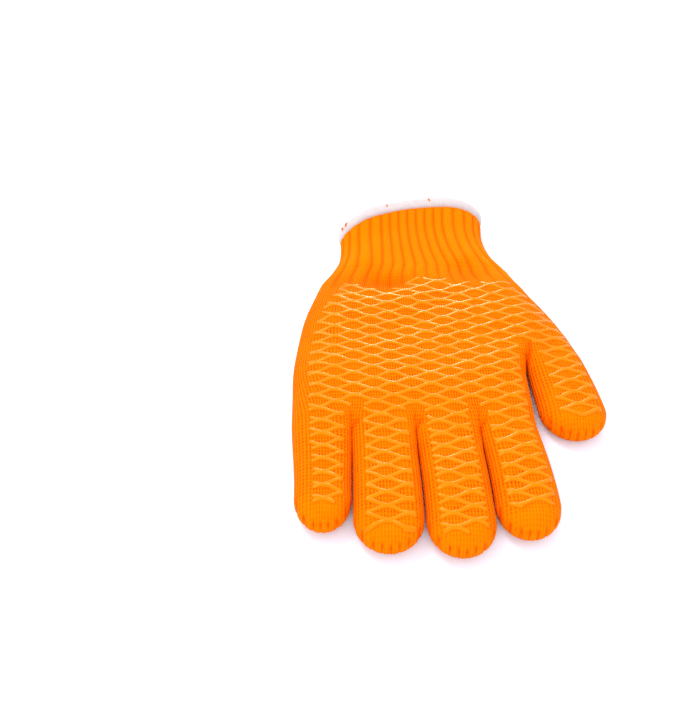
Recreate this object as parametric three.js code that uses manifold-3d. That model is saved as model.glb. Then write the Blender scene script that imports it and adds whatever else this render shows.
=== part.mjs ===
import * as THREE from 'three';
import { mergeVertices } from 'three/addons/utils/BufferGeometryUtils.js';
import Module from 'manifold-3d';

// Knitted work glove with a raised diamond grip, lying on its palm with the fingers towards -Y.
// It is drawn in millimetres, +Z up, from the middle of the finger crotches on the surface
// that it lies on, and centred on that surface at the end.

// Walls and clearances
const WALL = 1.8;
const SEAM_GAP = 0.3;
const FINGER_GAP = 0.6;
const GRIP_CLEARANCE = 0.7;

// Palm, from the finger crotches to the first ribs
const PALM_LENGTH = 103;
const PALM_HEIGHT = 16;
const PALM_FRONT_ROUND = 5;

// Fingers, from the crotches to the tip of the longest
const FINGER_LENGTH = 63.5;
const FINGER_WIDTH = 27.4;
const FINGER_HEIGHT = 13;
const TIP_ROUND = 15;
const ROOT_LENGTH = 1.5;
const ROOT_BLEND = 20;
const ROOT_SINK = 0.8;
const SPREAD_AT = 0.667;

// Thumb, from the place where it leaves the palm
const THUMB_LENGTH = 43.3;
const THUMB_WIDTH = 27.6;
const THUMB_HEIGHT = 13.5;
const THUMB_START = 38;

// Elastic cuff and its overlocked edge
const CUFF_LENGTH = 36;
const WRIST_WIDTH = 76;
const WRIST_HEIGHT = 15;
const MOUTH_WIDTH = 78;
const MOUTH_HEIGHT = 20;
const MOUTH_SKEW = 16;
const MOUTH_BOW = 8.5;
const RIB_COUNT = 34;
const RIB_DEPTH = 1.1;
const EDGE_DEPTH = 6;
const EDGE_THICKNESS = 4;
const EDGE_SCALLOP = 0.8;

// Raised grip lattice
const DIAMOND_ACROSS = 18;
const DIAMOND_ALONG = 10;
const STRAND_WIDTH = 1.9;
const STRAND_HEIGHT = 1;
const GRIP_MARGIN = 6.5;
const GRIP_TIP_SHARE = 0.6;
const GRIP_PALM_SHARE = 0.9;
const THUMB_GRIP_SHARE = 0.8;

// Form of a flattened tube's section: the widest place and the round under it as shares of its
// height, and its level top as a share of its half width
const BELLY_SHARE = 0.42;
const BASE_ROUND = 0.42;
const TOP_SHARE = 0.35;

// Fall of a tip's height against its width, below 1 for a tip that stays full for longer
const TIP_FALL = 0.6;

// Points round a section and steps along a tube
const FINGER_SIDES = 20;
const FINGER_STEPS = 3;
const TIP_STEPS = 4;
const PALM_SIDES = 32;
const PALM_INNER_SIDES = 22;
const PALM_STEPS = 7;
const CUFF_STEPS = 4;
const CUFF_INNER_STEPS = 2;
const POINTS_PER_RIB = 3;
const FINGER_STRAND_STEPS = 2;
const PALM_STRAND_STEPS = 1;

// Places of the rings in the palm's front round, as shares of it
const PALM_FRONT_SHARES = [0.03, 0.3, 0.65];

// Palm sections: along is a share of the palm's length, left and right are shares of half the
// width at the crotches, and height is a share of the palm's height
const PALM_SECTIONS = [
  { along: 0, left: 1, right: 1, height: 0.86 },
  { along: 0.16, left: 1.005, right: 1, height: 0.96 },
  { along: 0.3, left: 1.01, right: 1, height: 1 },
  { along: 0.48, left: 0.98, right: 1.02, height: 1 },
  { along: 0.68, left: 0.92, right: 1.07, height: 1 },
  { along: 0.83, left: 0.835, right: 1.1, height: 0.97 },
  { along: 0.91, left: 0.78, right: 1.09, height: 0.94 },
  { along: 1, left: 0.675, right: 1.03, height: 0.92 },
];

// Fingers from the little one to the first: width and length are shares of the driving finger,
// spread is the width from the spread's place to the tip as a share of the root's, and lean and
// bend shift the centre line sideways by a share of the finger's own length
const FINGERS = [
  { name: 'little_finger', width: 0.95, length: 0.82, spread: 0.91, lean: 0.052, bend: -0.027 },
  { name: 'ring_finger', width: 1, length: 0.97, spread: 1.05, lean: 0.041, bend: -0.033 },
  { name: 'middle_finger', width: 1, length: 1, spread: 1.02, lean: 0.092, bend: -0.068 },
  { name: 'index_finger', width: 0.935, length: 0.875, spread: 1.04, lean: 0.156, bend: -0.118 },
];
const THUMB = { name: 'thumb', width: 1, length: 1, spread: 1.07, lean: 0.18, bend: -0.1 };

// Base of the thumb on the palm: along runs from the thumb's start to the end of the palm,
// reach is how much of the thumb's width still stands out of the palm's side, and width and
// height are shares of the thumb's
const THUMB_BASE = [
  { along: 0, reach: 1, width: 1, height: 1 },
  { along: 0.28, reach: 0.77, width: 1, height: 1.05 },
  { along: 0.54, reach: 0.45, width: 0.95, height: 1.07 },
  { along: 0.77, reach: 0.13, width: 0.8, height: 1 },
  { along: 0.9, reach: -0.08, width: 0.55, height: 0.85 },
];

// Cuff sections: palm and mouth say how much of the palm's end and of the mouth is in each,
// the rest is the wrist, and shift moves the centre by a share of the wrist's width
const CUFF_SECTIONS = [
  { along: 0, palm: 1, mouth: 0, shift: 0 },
  { along: 0.3, palm: 0.32, mouth: 0, shift: -0.024 },
  { along: 0.6, palm: 0.03, mouth: 0.15, shift: -0.038 },
  { along: 1, palm: 0, mouth: 1, shift: -0.034 },
];

// Roll of the overlocked edge: past is a share of its depth, stand of half its thickness
const EDGE_PROFILE = [
  { past: 0, stand: 0.8 },
  { past: 0.6, stand: 1 },
  { past: 1, stand: 0.5 },
  { past: 1, stand: -0.5 },
  { past: 0.6, stand: -1 },
  { past: 0, stand: -0.8 },
];

// Dents in the upper skin: across is a share of half the palm's width from its middle, along
// and long are shares of the palm's length, wide of its half width, deep of its height
const DENTS = [
  { across: -0.12, along: 0.98, wide: 0.45, long: 0.05, deep: 0.17 },
  { across: -0.5, along: 0.9, wide: 0.2, long: 0.09, deep: 0.1 },
  { across: 0.62, along: 0.95, wide: 0.22, long: 0.08, deep: 0.1 },
  { across: 0.1, along: 0.45, wide: 0.6, long: 0.25, deep: 0.06 },
];

const KNIT = new THREE.MeshStandardMaterial({ color: '#ff8000', roughness: 0.95, metalness: 0 });
const CUFF_KNIT = new THREE.MeshStandardMaterial({ color: '#ff8a05', roughness: 0.95, metalness: 0 });
const EDGE_YARN = new THREE.MeshStandardMaterial({ color: '#f6f0ee', roughness: 0.9, metalness: 0 });
const GRIP = new THREE.MeshStandardMaterial({ color: '#ff9a1a', roughness: 0.35, metalness: 0 });

const wasm = await Module();
wasm.setup();

// Value of every column of a table at a share of its length, on straight lines between rows
function rowAt(rows, along) {
  const last = rows.length - 2;
  const next = rows.findIndex((row, index) => index > 0 && row.along >= along);
  const start = next < 0 ? last : next - 1;
  const low = rows[start];
  const high = rows[start + 1];
  const share = (along - low.along) / (high.along - low.along);
  const blend = ([column, value]) => [column, THREE.MathUtils.lerp(value, high[column], share)];
  return Object.fromEntries(Object.entries(low).map(blend));
}

// Outline of a flattened tube from the middle of its base: flat base, round sides, level top
function sectionPoints(width, height, count) {
  const half = width / 2;
  const belly = height * BELLY_SHARE;
  const base = half - BASE_ROUND * height;
  const top = half * TOP_SHARE;
  const quarter = Math.PI / 2;
  const path = new THREE.Path();
  path.moveTo(0, 0);
  path.lineTo(base, 0);
  path.absellipse(base, belly, half - base, belly, -quarter, 0);
  path.absellipse(top, belly, half - top, height - belly, 0, quarter);
  path.lineTo(-top, height);
  path.absellipse(-top, belly, half - top, height - belly, quarter, 2 * quarter);
  path.absellipse(-base, belly, half - base, belly, 2 * quarter, 3 * quarter);
  path.lineTo(0, 0);
  return path.getSpacedPoints(count).slice(0, count);
}

// Section points placed in the plan, with the skin lying inset from the outer one
function ring(station, inset, sides) {
  const points = sectionPoints(station.width - 2 * inset, station.height - 2 * inset, sides);
  return points.map((point) => station.place(point.x, point.y + inset));
}

// Closed body through rings of equal counts: either round in a loop, or ended by two points
function skinGeometry(rings, ends) {
  const sides = rings[0].length;
  const positions = rings.flat().flatMap((point) => point.toArray());
  const index = [];
  const joins = ends ? rings.length - 1 : rings.length;
  for (let row = 0; row < joins; row += 1) {
    const low = row * sides;
    const high = ((row + 1) % rings.length) * sides;
    for (let side = 0; side < sides; side += 1) {
      const next = (side + 1) % sides;
      index.push(low + side, low + next, high + next, low + side, high + next, high + side);
    }
  }
  if (ends) {
    const first = rings.length * sides;
    const top = (rings.length - 1) * sides;
    ends.forEach((point) => positions.push(...point.toArray()));
    for (let side = 0; side < sides; side += 1) {
      const next = (side + 1) % sides;
      index.push(first, next, side, first + 1, top + side, top + next);
    }
  }
  return outward(positions, index);
}

// Indexed geometry whose faces are turned outward if they are not yet
function outward(positions, index) {
  const corner = (vertex) => new THREE.Vector3().fromArray(positions, 3 * vertex);
  let volume = 0;
  for (let start = 0; start < index.length; start += 3) {
    const [a, b, c] = index.slice(start, start + 3).map(corner);
    volume += a.dot(b.cross(c));
  }
  const faces = volume > 0 ? index : [...index].reverse();
  const geometry = new THREE.BufferGeometry();
  geometry.setAttribute('position', new THREE.Float32BufferAttribute(positions, 3));
  geometry.setIndex(faces);
  return geometry;
}

// Solid for joining and cutting
function solidOf(geometry) {
  const merged = mergeVertices(geometry);
  const vertProperties = new Float32Array(merged.attributes.position.array);
  const triVerts = new Uint32Array(merged.index.array);
  return new wasm.Manifold(new wasm.Mesh({ numProp: 3, vertProperties, triVerts }));
}

// Geometry of a joined or cut solid
function geometryOf(solid) {
  const mesh = solid.getMesh();
  const geometry = new THREE.BufferGeometry();
  geometry.setAttribute('position', new THREE.BufferAttribute(new Float32Array(mesh.vertProperties), 3));
  geometry.setIndex(new THREE.BufferAttribute(new Uint32Array(mesh.triVerts), 1));
  return geometry;
}

// Middle of a ring, which ends a solid
function middle(points) {
  const sum = points.reduce((total, point) => total.add(point), new THREE.Vector3());
  return sum.divideScalar(points.length);
}

// Named mesh of one piece
function piece(name, geometry, material) {
  const plain = geometry.toNonIndexed();
  plain.computeVertexNormals();
  const mesh = new THREE.Mesh(plain, material);
  mesh.name = name;
  return mesh;
}

// Sizes that follow from the fingers lying side by side
const fingerWidths = FINGERS.map((finger) => finger.width * FINGER_WIDTH);
const palmFrontWidth = fingerWidths.reduce((sum, width) => sum + width) + (FINGERS.length - 1) * FINGER_GAP;
const palmHalf = palmFrontWidth / 2;

// Depth of the dents at a place on the upper skin
function dentDepth(x, y) {
  const depths = DENTS.map((dent) => {
    const across = (x / palmHalf - dent.across) / dent.wide;
    const along = (y / PALM_LENGTH - dent.along) / dent.long;
    return dent.deep * PALM_HEIGHT * Math.exp(-across * across - along * along);
  });
  return depths.reduce((sum, depth) => sum + depth);
}

// Height above the surface, lowered by the dents in the upper half of a section
function dented(x, y, z, height) {
  const belly = height * BELLY_SHARE;
  const share = Math.max(0, (z - belly) / (height - belly));
  return z - dentDepth(x, y) * share;
}

// Palm section at a distance from the crotches, where the palm closes in a round edge
function palmStation(y) {
  const row = rowAt(PALM_SECTIONS, y / PALM_LENGTH);
  const past = Math.min(1, Math.max(0, 1 - y / PALM_FRONT_ROUND));
  const close = Math.sqrt(1 - past * past);
  const left = -row.left * palmHalf;
  const right = row.right * palmHalf;
  const full = row.height * PALM_HEIGHT;
  const height = full * close;
  const lift = (full - height) * BELLY_SHARE;
  const centre = (left + right) / 2;
  const width = right - left - 2 * (1 - close) * full * BELLY_SHARE;
  const place = (x, z) => new THREE.Vector3(centre + x, y, dented(centre + x, y, z + lift, full));
  return { width, height, centre, right, place };
}

// Rings of the palm's outer or inner skin, from its round front to the cuff
function palmRings(inset) {
  const back = Array.from({ length: PALM_STEPS + 1 }, (unused, step) => (
    THREE.MathUtils.lerp(PALM_FRONT_ROUND, PALM_LENGTH, step / PALM_STEPS)
  ));
  const front = PALM_FRONT_SHARES.map((share) => share * PALM_FRONT_ROUND);
  const sides = inset > 0 ? PALM_INNER_SIDES : PALM_SIDES;
  const moved = new THREE.Vector3(0, inset, 0);
  return [...front, ...back].map((y) => (
    ring(palmStation(y), inset, sides).map((point) => point.add(moved))
  ));
}

// Centre line, width and height of a finger's tube at a share of its length, below 0 in the palm
function fingerTube(finger, root, startY, length, width, height) {
  const centreAt = (share) => root + length * share * (finger.lean + finger.bend * share);
  const spreadWidth = finger.spread * width;
  const widthAt = (share) => {
    const swell = Math.min(1, Math.max(0, share / SPREAD_AT));
    return THREE.MathUtils.lerp(width, spreadWidth, swell);
  };
  const stationAt = (y, close) => {
    const share = (startY - y) / length;
    const centre = centreAt(share);
    const lift = (1 - close) * height * BELLY_SHARE;
    const place = (x, z) => new THREE.Vector3(centre + x, y, z + lift);
    return { width: widthAt(share) * close, height: height * close, centre, place };
  };
  const tipY = startY - length;
  return { name: finger.name, tipY, length, stationAt };
}

// The four finger tubes side by side across the palm's front
let edge = -palmHalf;
const fingerTubes = FINGERS.map((finger, index) => {
  const width = fingerWidths[index];
  const root = edge + width / 2;
  edge += width + FINGER_GAP;
  return fingerTube(finger, root, 0, finger.length * FINGER_LENGTH, width, FINGER_HEIGHT);
});

// The thumb's tube beside the palm
const thumbRoot = palmStation(THUMB_START).right + FINGER_GAP + THUMB_WIDTH / 2;
const thumbTube = fingerTube(THUMB, thumbRoot, THUMB_START, THUMB_LENGTH, THUMB_WIDTH, THUMB_HEIGHT);

// Rings from a tube's open root to its round tip, for the outer or the inner skin
function tubeRings(tube, rootY, inset, sides) {
  const roundStart = tube.tipY + TIP_ROUND;
  const straight = Array.from({ length: FINGER_STEPS }, (unused, step) => {
    const y = THREE.MathUtils.lerp(rootY, roundStart, step / FINGER_STEPS);
    return ring(tube.stationAt(y, 1), inset, sides);
  });
  const round = Array.from({ length: TIP_STEPS }, (unused, step) => {
    const angle = (step / TIP_STEPS) * (Math.PI / 2);
    const y = roundStart - (TIP_ROUND - inset) * Math.sin(angle);
    const station = tube.stationAt(y, 1);
    const points = ring(station, inset, sides);
    const belly = station.height * BELLY_SHARE;
    const pole = station.place(0, belly);
    return points.map((point) => new THREE.Vector3(
      THREE.MathUtils.lerp(pole.x, point.x, Math.cos(angle)),
      point.y,
      THREE.MathUtils.lerp(pole.z, point.z, Math.cos(angle) ** TIP_FALL),
    ));
  });
  const tip = tube.stationAt(tube.tipY + inset, 1);
  return { rings: [...straight, ...round], tip: tip.place(0, tip.height * BELLY_SHARE) };
}

// Hollow finger, closed at its tip and open at its root
function fingerGeometry(tube, rootY) {
  const outer = tubeRings(tube, rootY, 0, FINGER_SIDES);
  const inner = tubeRings(tube, rootY, WALL, FINGER_SIDES);
  return skinGeometry([...outer.rings.reverse(), ...inner.rings], [outer.tip, inner.tip]);
}

// Root of a finger on the palm, sinking into it, for the outer or the inner skin
function rootSolid(tube, inset) {
  const stations = [
    tube.stationAt(ROOT_BLEND, ROOT_SINK),
    tube.stationAt(PALM_FRONT_ROUND, 1),
    tube.stationAt(-ROOT_LENGTH - inset, 1),
  ];
  const rings = stations.map((station) => ring(station, inset, FINGER_SIDES));
  return solidOf(skinGeometry(rings, [middle(rings[0]), middle(rings.at(-1))]));
}

// Thumb base at a distance from the crotches
function thumbBaseStation(y) {
  const row = rowAt(THUMB_BASE, (y - THUMB_START) / (PALM_LENGTH - THUMB_START));
  const start = thumbTube.stationAt(THUMB_START, 1);
  const stand = start.centre + start.width / 2 - palmStation(THUMB_START).right;
  const right = palmStation(y).right + row.reach * stand;
  const width = row.width * THUMB_WIDTH;
  const centre = right - width / 2;
  const place = (x, z) => new THREE.Vector3(centre + x, y, z);
  return { width, height: row.height * THUMB_HEIGHT, centre, place };
}

// Swelling of the palm that carries the thumb, for the outer or the inner skin
function thumbBaseSolid(inset) {
  const mouth = ring(thumbTube.stationAt(THUMB_START - inset, 1), inset, FINGER_SIDES);
  const rows = THUMB_BASE.map((row, index) => {
    const end = index === THUMB_BASE.length - 1 ? inset : 0;
    const y = THREE.MathUtils.lerp(THUMB_START, PALM_LENGTH, row.along) - end;
    return ring(thumbBaseStation(y), inset, FINGER_SIDES);
  });
  const rings = inset > 0 ? [mouth, ...rows] : rows;
  return solidOf(skinGeometry(rings, [middle(rings[0]), middle(rings.at(-1))]));
}

// Palm with the roots of the fingers and the base of the thumb, as an outer or an inner skin
function palmSolid(inset) {
  const rings = palmRings(inset);
  const body = solidOf(skinGeometry(rings, [middle(rings[0]), middle(rings.at(-1))]));
  const roots = fingerTubes.map((tube) => rootSolid(tube, inset));
  return [...roots, thumbBaseSolid(inset)].reduce((sum, part) => sum.add(part), body);
}

// Place of a section point on the cuff: share 1 is the mouth, and the mouth is skewed and bowed
function cuffStation(share, past) {
  const row = rowAt(CUFF_SECTIONS, share);
  const end = palmStation(PALM_LENGTH);
  const rest = 1 - row.palm - row.mouth;
  const width = row.palm * end.width + row.mouth * MOUTH_WIDTH + rest * WRIST_WIDTH;
  const height = row.palm * end.height + row.mouth * MOUTH_HEIGHT + rest * WRIST_HEIGHT;
  const centre = end.centre + row.shift * WRIST_WIDTH;
  const place = (x, z) => {
    const across = (2 * x) / width;
    const reach = CUFF_LENGTH + (MOUTH_SKEW / 2) * across + MOUTH_BOW * (1 - across * across);
    const y = PALM_LENGTH + SEAM_GAP + share * reach + past;
    return new THREE.Vector3(centre + x, y, dented(centre + x, y, z, height));
  };
  return { width, height, centre, place };
}

// Section of the cuff whose points stand out by a height of their own from an inset outline
function wavyRing(station, inset, count, standAt) {
  const points = sectionPoints(station.width - 2 * inset, station.height - 2 * inset, count);
  return points.map((point, index) => {
    const before = points[(index + count - 1) % count];
    const after = points[(index + 1) % count];
    const normal = new THREE.Vector2(after.y - before.y, before.x - after.x).normalize();
    const stood = point.clone().addScaledVector(normal, standAt(index));
    return station.place(stood.x, stood.y + inset);
  });
}

// Ribbed tube: ribs stand out of the furrows all round, and the inside is plain
function cuffGeometry() {
  const count = RIB_COUNT * POINTS_PER_RIB;
  const ribbed = (index) => (index % POINTS_PER_RIB === 0 ? 0 : RIB_DEPTH);
  const rings = (steps, inset, standAt) => Array.from({ length: steps + 1 }, (unused, step) => (
    wavyRing(cuffStation(step / steps, 0), inset, count, standAt)
  ));
  const outer = rings(CUFF_STEPS, RIB_DEPTH, ribbed);
  const inner = rings(CUFF_INNER_STEPS, RIB_DEPTH + WALL, () => 0);
  return skinGeometry([...outer, ...inner.reverse()]);
}

// Overlocked edge: a soft roll round the mouth, scalloped where it grips the ribs
function edgeGeometry() {
  const count = RIB_COUNT * 2;
  const roll = EDGE_THICKNESS / 2;
  const rings = EDGE_PROFILE.map((row) => {
    const station = cuffStation(1, SEAM_GAP + row.past * EDGE_DEPTH);
    const scallop = (index) => row.stand * roll * (index % 2 ? EDGE_SCALLOP : 1);
    return wavyRing(station, roll, count, scallop);
  });
  return skinGeometry(rings);
}

// Height of a piece's upper skin at a place in the plan, found from above
function topOf(mesh) {
  const down = new THREE.Vector3(0, 0, -1);
  const above = 2 * MOUTH_HEIGHT;
  return (x, y) => {
    const [hit] = new THREE.Raycaster(new THREE.Vector3(x, y, above), down).intersectObject(mesh);
    return hit ? hit.point.z : 0;
  };
}

// Whether a place lies on the upper skin at least a margin inside a station's sides
function liesOn(station, x, margin) {
  return Math.abs(x - station.centre) <= station.width / 2 - margin;
}

// Lattice of straight strands: a diamond is kept where its four corners lie on the skin
function latticeGeometry(columns, rows, pointAt, topAt, covers, divisions) {
  const slope = Math.atan2(DIAMOND_ALONG, DIAMOND_ACROSS);
  const tall = STRAND_WIDTH / 2 / Math.cos(slope);
  const wide = STRAND_WIDTH / 2 / Math.sin(slope);
  const corners = { east: [wide, 0], north: [0, tall], west: [-wide, 0], south: [0, -tall] };
  const plan = [];
  const keys = new Map();
  const vertex = (key, x, y) => {
    if (!keys.has(key)) {
      keys.set(key, plan.length);
      plan.push(new THREE.Vector2(x, y));
    }
    return keys.get(key);
  };
  const corner = (column, row, side) => {
    const point = pointAt(column, row);
    const [x, y] = corners[side];
    return vertex(`${column},${row},${side}`, point.x + x, point.y + y);
  };
  const faces = new Map();
  const crossing = (column, row) => {
    const [east, north, west, south] = Object.keys(corners).map((side) => corner(column, row, side));
    faces.set(`${column},${row}`, [[east, north, south], [north, west, south]]);
  };
  // Strand from a crossing to the next column, rising or falling by one row
  const strand = (column, row, rise) => {
    const sides = rise > 0 ? ['east', 'south', 'west', 'north'] : ['south', 'west', 'north', 'east'];
    const near = [corner(column, row, sides[0]), corner(column, row, sides[3])];
    const far = [corner(column + 1, row + rise, sides[1]), corner(column + 1, row + rise, sides[2])];
    const quads = [];
    let last = near;
    for (let step = 1; step <= divisions; step += 1) {
      const share = step / divisions;
      const next = step === divisions ? far : near.map((start, side) => {
        const point = plan[start].clone().lerp(plan[far[side]], share);
        return vertex(`${column},${row},${rise},${side},${step}`, point.x, point.y);
      });
      quads.push([last[0], next[0], next[1]], [last[0], next[1], last[1]]);
      last = next;
    }
    faces.set(`${column},${row},${rise}`, quads);
  };
  for (let column = columns[0]; column <= columns[1]; column += 1) {
    for (let row = rows[0]; row <= rows[1]; row += 1) {
      const around = [[column - 1, row], [column + 1, row], [column, row - 1], [column, row + 1]];
      const odd = Math.abs(column + row) % 2 === 1;
      if (odd && around.every(([i, j]) => covers(pointAt(i, j)))) {
        around.forEach(([i, j]) => crossing(i, j));
        strand(column - 1, row, 1);
        strand(column - 1, row, -1);
        strand(column, row + 1, -1);
        strand(column, row - 1, 1);
      }
    }
  }
  return raisedGeometry(plan, [...faces.values()].flat(), topAt);
}

// Flat faces in the plan given a thickness over the skin, with a wall on every free edge
function raisedGeometry(plan, faces, topAt) {
  const count = plan.length;
  const at = (point, lift) => [point.x, point.y, topAt(point.x, point.y) + GRIP_CLEARANCE + lift];
  const lower = plan.flatMap((point) => at(point, 0));
  const upper = plan.flatMap((point) => at(point, STRAND_HEIGHT));
  const sides = faces.flatMap(([a, b, c]) => [[a, b], [b, c], [c, a]]);
  const known = new Set(sides.map((side) => side.join()));
  const free = sides.filter(([a, b]) => !known.has(`${b},${a}`));
  const walls = free.flatMap(([a, b]) => [a, b, b + count, a, b + count, a + count]);
  const tops = faces.flatMap(([a, b, c]) => [a + count, b + count, c + count]);
  const bottoms = faces.flatMap(([a, b, c]) => [a, c, b]);
  return outward([...lower, ...upper], [...tops, ...bottoms, ...walls]);
}

// Grip of a finger: one column of diamonds down its middle
function fingerGrip(tube, rootY, skin) {
  const firstY = tube.tipY + TIP_ROUND * GRIP_TIP_SHARE;
  const pointAt = (column, row) => {
    const y = firstY + (row * DIAMOND_ALONG) / 2;
    return new THREE.Vector2(tube.stationAt(y, 1).centre + (column * DIAMOND_ACROSS) / 2, y);
  };
  const covers = (point) => point.y <= rootY - STRAND_WIDTH;
  const rowCount = Math.ceil((2 * tube.length) / DIAMOND_ALONG);
  return latticeGeometry([0, 0], [1, rowCount], pointAt, topOf(skin), covers, FINGER_STRAND_STEPS);
}

// Grip of the palm: staggered diamonds up to its sides, the finger roots and the cuff
function palmGrip(skin) {
  const half = Math.ceil((2 * palmFrontWidth) / DIAMOND_ACROSS);
  const rowCount = Math.ceil((2 * PALM_LENGTH) / DIAMOND_ALONG);
  const firstY = PALM_FRONT_ROUND + STRAND_WIDTH;
  const pointAt = (column, row) => new THREE.Vector2(
    (column * DIAMOND_ACROSS) / 2,
    firstY + (row * DIAMOND_ALONG) / 2,
  );
  const lastY = PALM_LENGTH * GRIP_PALM_SHARE;
  const onThumb = (y) => y > THUMB_START + STRAND_WIDTH && y < PALM_LENGTH * THUMB_GRIP_SHARE;
  const covers = (point) => {
    const onBase = onThumb(point.y) && liesOn(thumbBaseStation(point.y), point.x, GRIP_MARGIN / 2);
    const onPalm = liesOn(palmStation(point.y), point.x, GRIP_MARGIN);
    return (onPalm || onBase) && point.y <= lastY && point.y >= firstY;
  };
  return latticeGeometry([-half, half], [0, rowCount], pointAt, topOf(skin), covers, PALM_STRAND_STEPS);
}

// A skin and the grip on it, cut back where it would come nearer to the skin than a seam's gap
function addGripped(group, name, geometry, swollen, gripOf) {
  const skin = piece(name, geometry, KNIT);
  const grip = solidOf(gripOf(skin)).subtract(swollen);
  group.add(skin, piece(`grip_${name}`, geometryOf(grip), GRIP));
}

const glove = new THREE.Group();
const palmGeometry = geometryOf(palmSolid(0).subtract(palmSolid(WALL)));
addGripped(glove, 'palm', palmGeometry, palmSolid(-SEAM_GAP), palmGrip);
for (const tube of [...fingerTubes, thumbTube]) {
  const rootY = (tube === thumbTube ? THUMB_START : -ROOT_LENGTH) - SEAM_GAP;
  const swollen = tubeRings(tube, rootY, -SEAM_GAP, FINGER_SIDES);
  const swollenSolid = solidOf(skinGeometry(swollen.rings, [middle(swollen.rings[0]), swollen.tip]));
  const gripOf = (skin) => fingerGrip(tube, rootY, skin);
  addGripped(glove, tube.name, fingerGeometry(tube, rootY), swollenSolid, gripOf);
}
glove.add(piece('ribbed_cuff', cuffGeometry(), CUFF_KNIT));
glove.add(piece('cuff_edge', edgeGeometry(), EDGE_YARN));

// The middle of the glove's outline on the surface becomes the origin
const box = new THREE.Box3().setFromObject(glove);
const centre = box.getCenter(new THREE.Vector3());
glove.position.set(-centre.x, -centre.y, -box.min.z);

export default glove;
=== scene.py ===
"""Knitted work glove with a printed rubber net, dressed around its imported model.

The glove lies flat with the fingers towards -Y. Its plan is worked out in millimetres from the
middle of the finger crotches, x across the hand and y towards the cuff, and moved into the frame
when a mesh is made. Every skin is a height over the plan: it rises from the outline like a pillow,
so the crotches, the round fingertips and the valleys between the fingers come from one formula.
"""

import logging
import math
from dataclasses import dataclass, field
from enum import Enum
from functools import cached_property
from typing import NamedTuple

import bpy
import numpy as np
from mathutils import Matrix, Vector


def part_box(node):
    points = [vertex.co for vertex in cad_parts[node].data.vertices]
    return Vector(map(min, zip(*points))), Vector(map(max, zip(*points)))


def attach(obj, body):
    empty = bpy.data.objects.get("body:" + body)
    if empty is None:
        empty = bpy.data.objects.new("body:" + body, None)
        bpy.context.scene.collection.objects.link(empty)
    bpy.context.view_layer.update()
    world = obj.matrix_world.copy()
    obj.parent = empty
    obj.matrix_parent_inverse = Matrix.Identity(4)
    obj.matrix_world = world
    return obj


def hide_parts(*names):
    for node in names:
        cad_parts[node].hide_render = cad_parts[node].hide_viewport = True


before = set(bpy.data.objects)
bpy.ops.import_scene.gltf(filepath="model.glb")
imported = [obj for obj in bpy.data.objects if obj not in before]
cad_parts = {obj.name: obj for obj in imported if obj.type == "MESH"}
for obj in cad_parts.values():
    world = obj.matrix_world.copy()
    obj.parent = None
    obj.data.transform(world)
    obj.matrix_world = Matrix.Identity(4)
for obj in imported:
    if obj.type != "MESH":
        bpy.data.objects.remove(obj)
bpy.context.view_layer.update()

Array = np.ndarray
LOG = logging.getLogger("glove")
MM = 0.001
BODY = "root"
UV_LAYER = "knit"
# Marks on the knit's points: painted shade in creases, dents, rib grooves and tip puckers, and
# tightness.
MARKS = ("fold_and_shade", "tight")
TURN = 2.0 * math.pi
QUARTER_TURN = 0.5 * math.pi
TINY = 1e-12
WAVE_COUNT = 6
WAVE_LENGTHS = (0.7, 1.5)
ARC_WEIGHT = 0.72
FOOT_SINK = 0.9
BEYOND = 1000.0


class Side(Enum):
    """The two faces of the glove as it lies: the one that shows and the one that it rests on."""

    UPPER = 1.0
    UNDER = -1.0


class PalmRow(NamedTuple):
    """Palm section: along is a share of the length, left and right of half the crotch width."""

    along: float
    left: float
    right: float
    height: float


class ThumbRow(NamedTuple):
    """Thumb base: along runs from the thumb's start to the cuff, reach is a share of its stand."""

    along: float
    reach: float
    height: float


class CuffRow(NamedTuple):
    """Cuff section: shares of the palm's end and the mouth in it, and a shift in wrist widths."""

    along: float
    palm: float
    mouth: float
    shift: float


class TubeRow(NamedTuple):
    """Finger or thumb: shares of the common width and length, spread, lean, bend and wales."""

    name: str
    width: float
    length: float
    spread: float
    lean: float
    bend: float
    wales: int


class Dent(NamedTuple):
    """Hollow in the upper skin, in shares of half the crotch width, the length and the height."""

    across: float
    along: float
    wide: float
    long: float
    deep: float


class Crease(NamedTuple):
    """Narrow crease in the upper skin between two places, in millimetres from its crotch."""

    start: tuple[float, float]
    end: tuple[float, float]
    wide: float
    deep: float


class NetBand(NamedTuple):
    """Plain margins beside and before the end of the net on a tube, and its shift sideways."""

    left: float
    right: float
    end: float
    shift: float


class CaughtEnd(NamedTuple):
    """End of yarn caught in the edge: its share of the way round, slant and half thickness."""

    spot: float
    slant: float
    thick: float


class Lamp(NamedTuple):
    """Square soft light: name, place and side in metres, and power in watts."""

    name: str
    place: tuple[float, float, float]
    size: float
    power: float


PALM_ROWS = (
    PalmRow(0.0, 1.0, 1.0, 0.86),
    PalmRow(0.16, 1.005, 1.0, 0.96),
    PalmRow(0.3, 1.01, 1.0, 1.0),
    PalmRow(0.48, 0.98, 1.02, 1.0),
    PalmRow(0.68, 0.92, 1.07, 1.0),
    PalmRow(0.83, 0.835, 1.1, 0.97),
    PalmRow(0.91, 0.78, 1.09, 0.94),
    PalmRow(1.0, 0.675, 1.03, 0.92),
)
THUMB_ROWS = (
    ThumbRow(0.0, 1.0, 1.0),
    ThumbRow(0.28, 0.77, 1.05),
    ThumbRow(0.54, 0.45, 1.07),
    ThumbRow(0.77, 0.13, 1.05),
    ThumbRow(0.9, 0.01, 1.05),
    ThumbRow(1.0, 0.0, 1.05),
)
CUFF_ROWS = (
    CuffRow(0.0, 1.0, 0.0, 0.0),
    CuffRow(0.3, 0.32, 0.0, -0.024),
    CuffRow(0.6, 0.03, 0.15, -0.038),
    CuffRow(1.0, 0.0, 1.0, -0.034),
)
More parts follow.
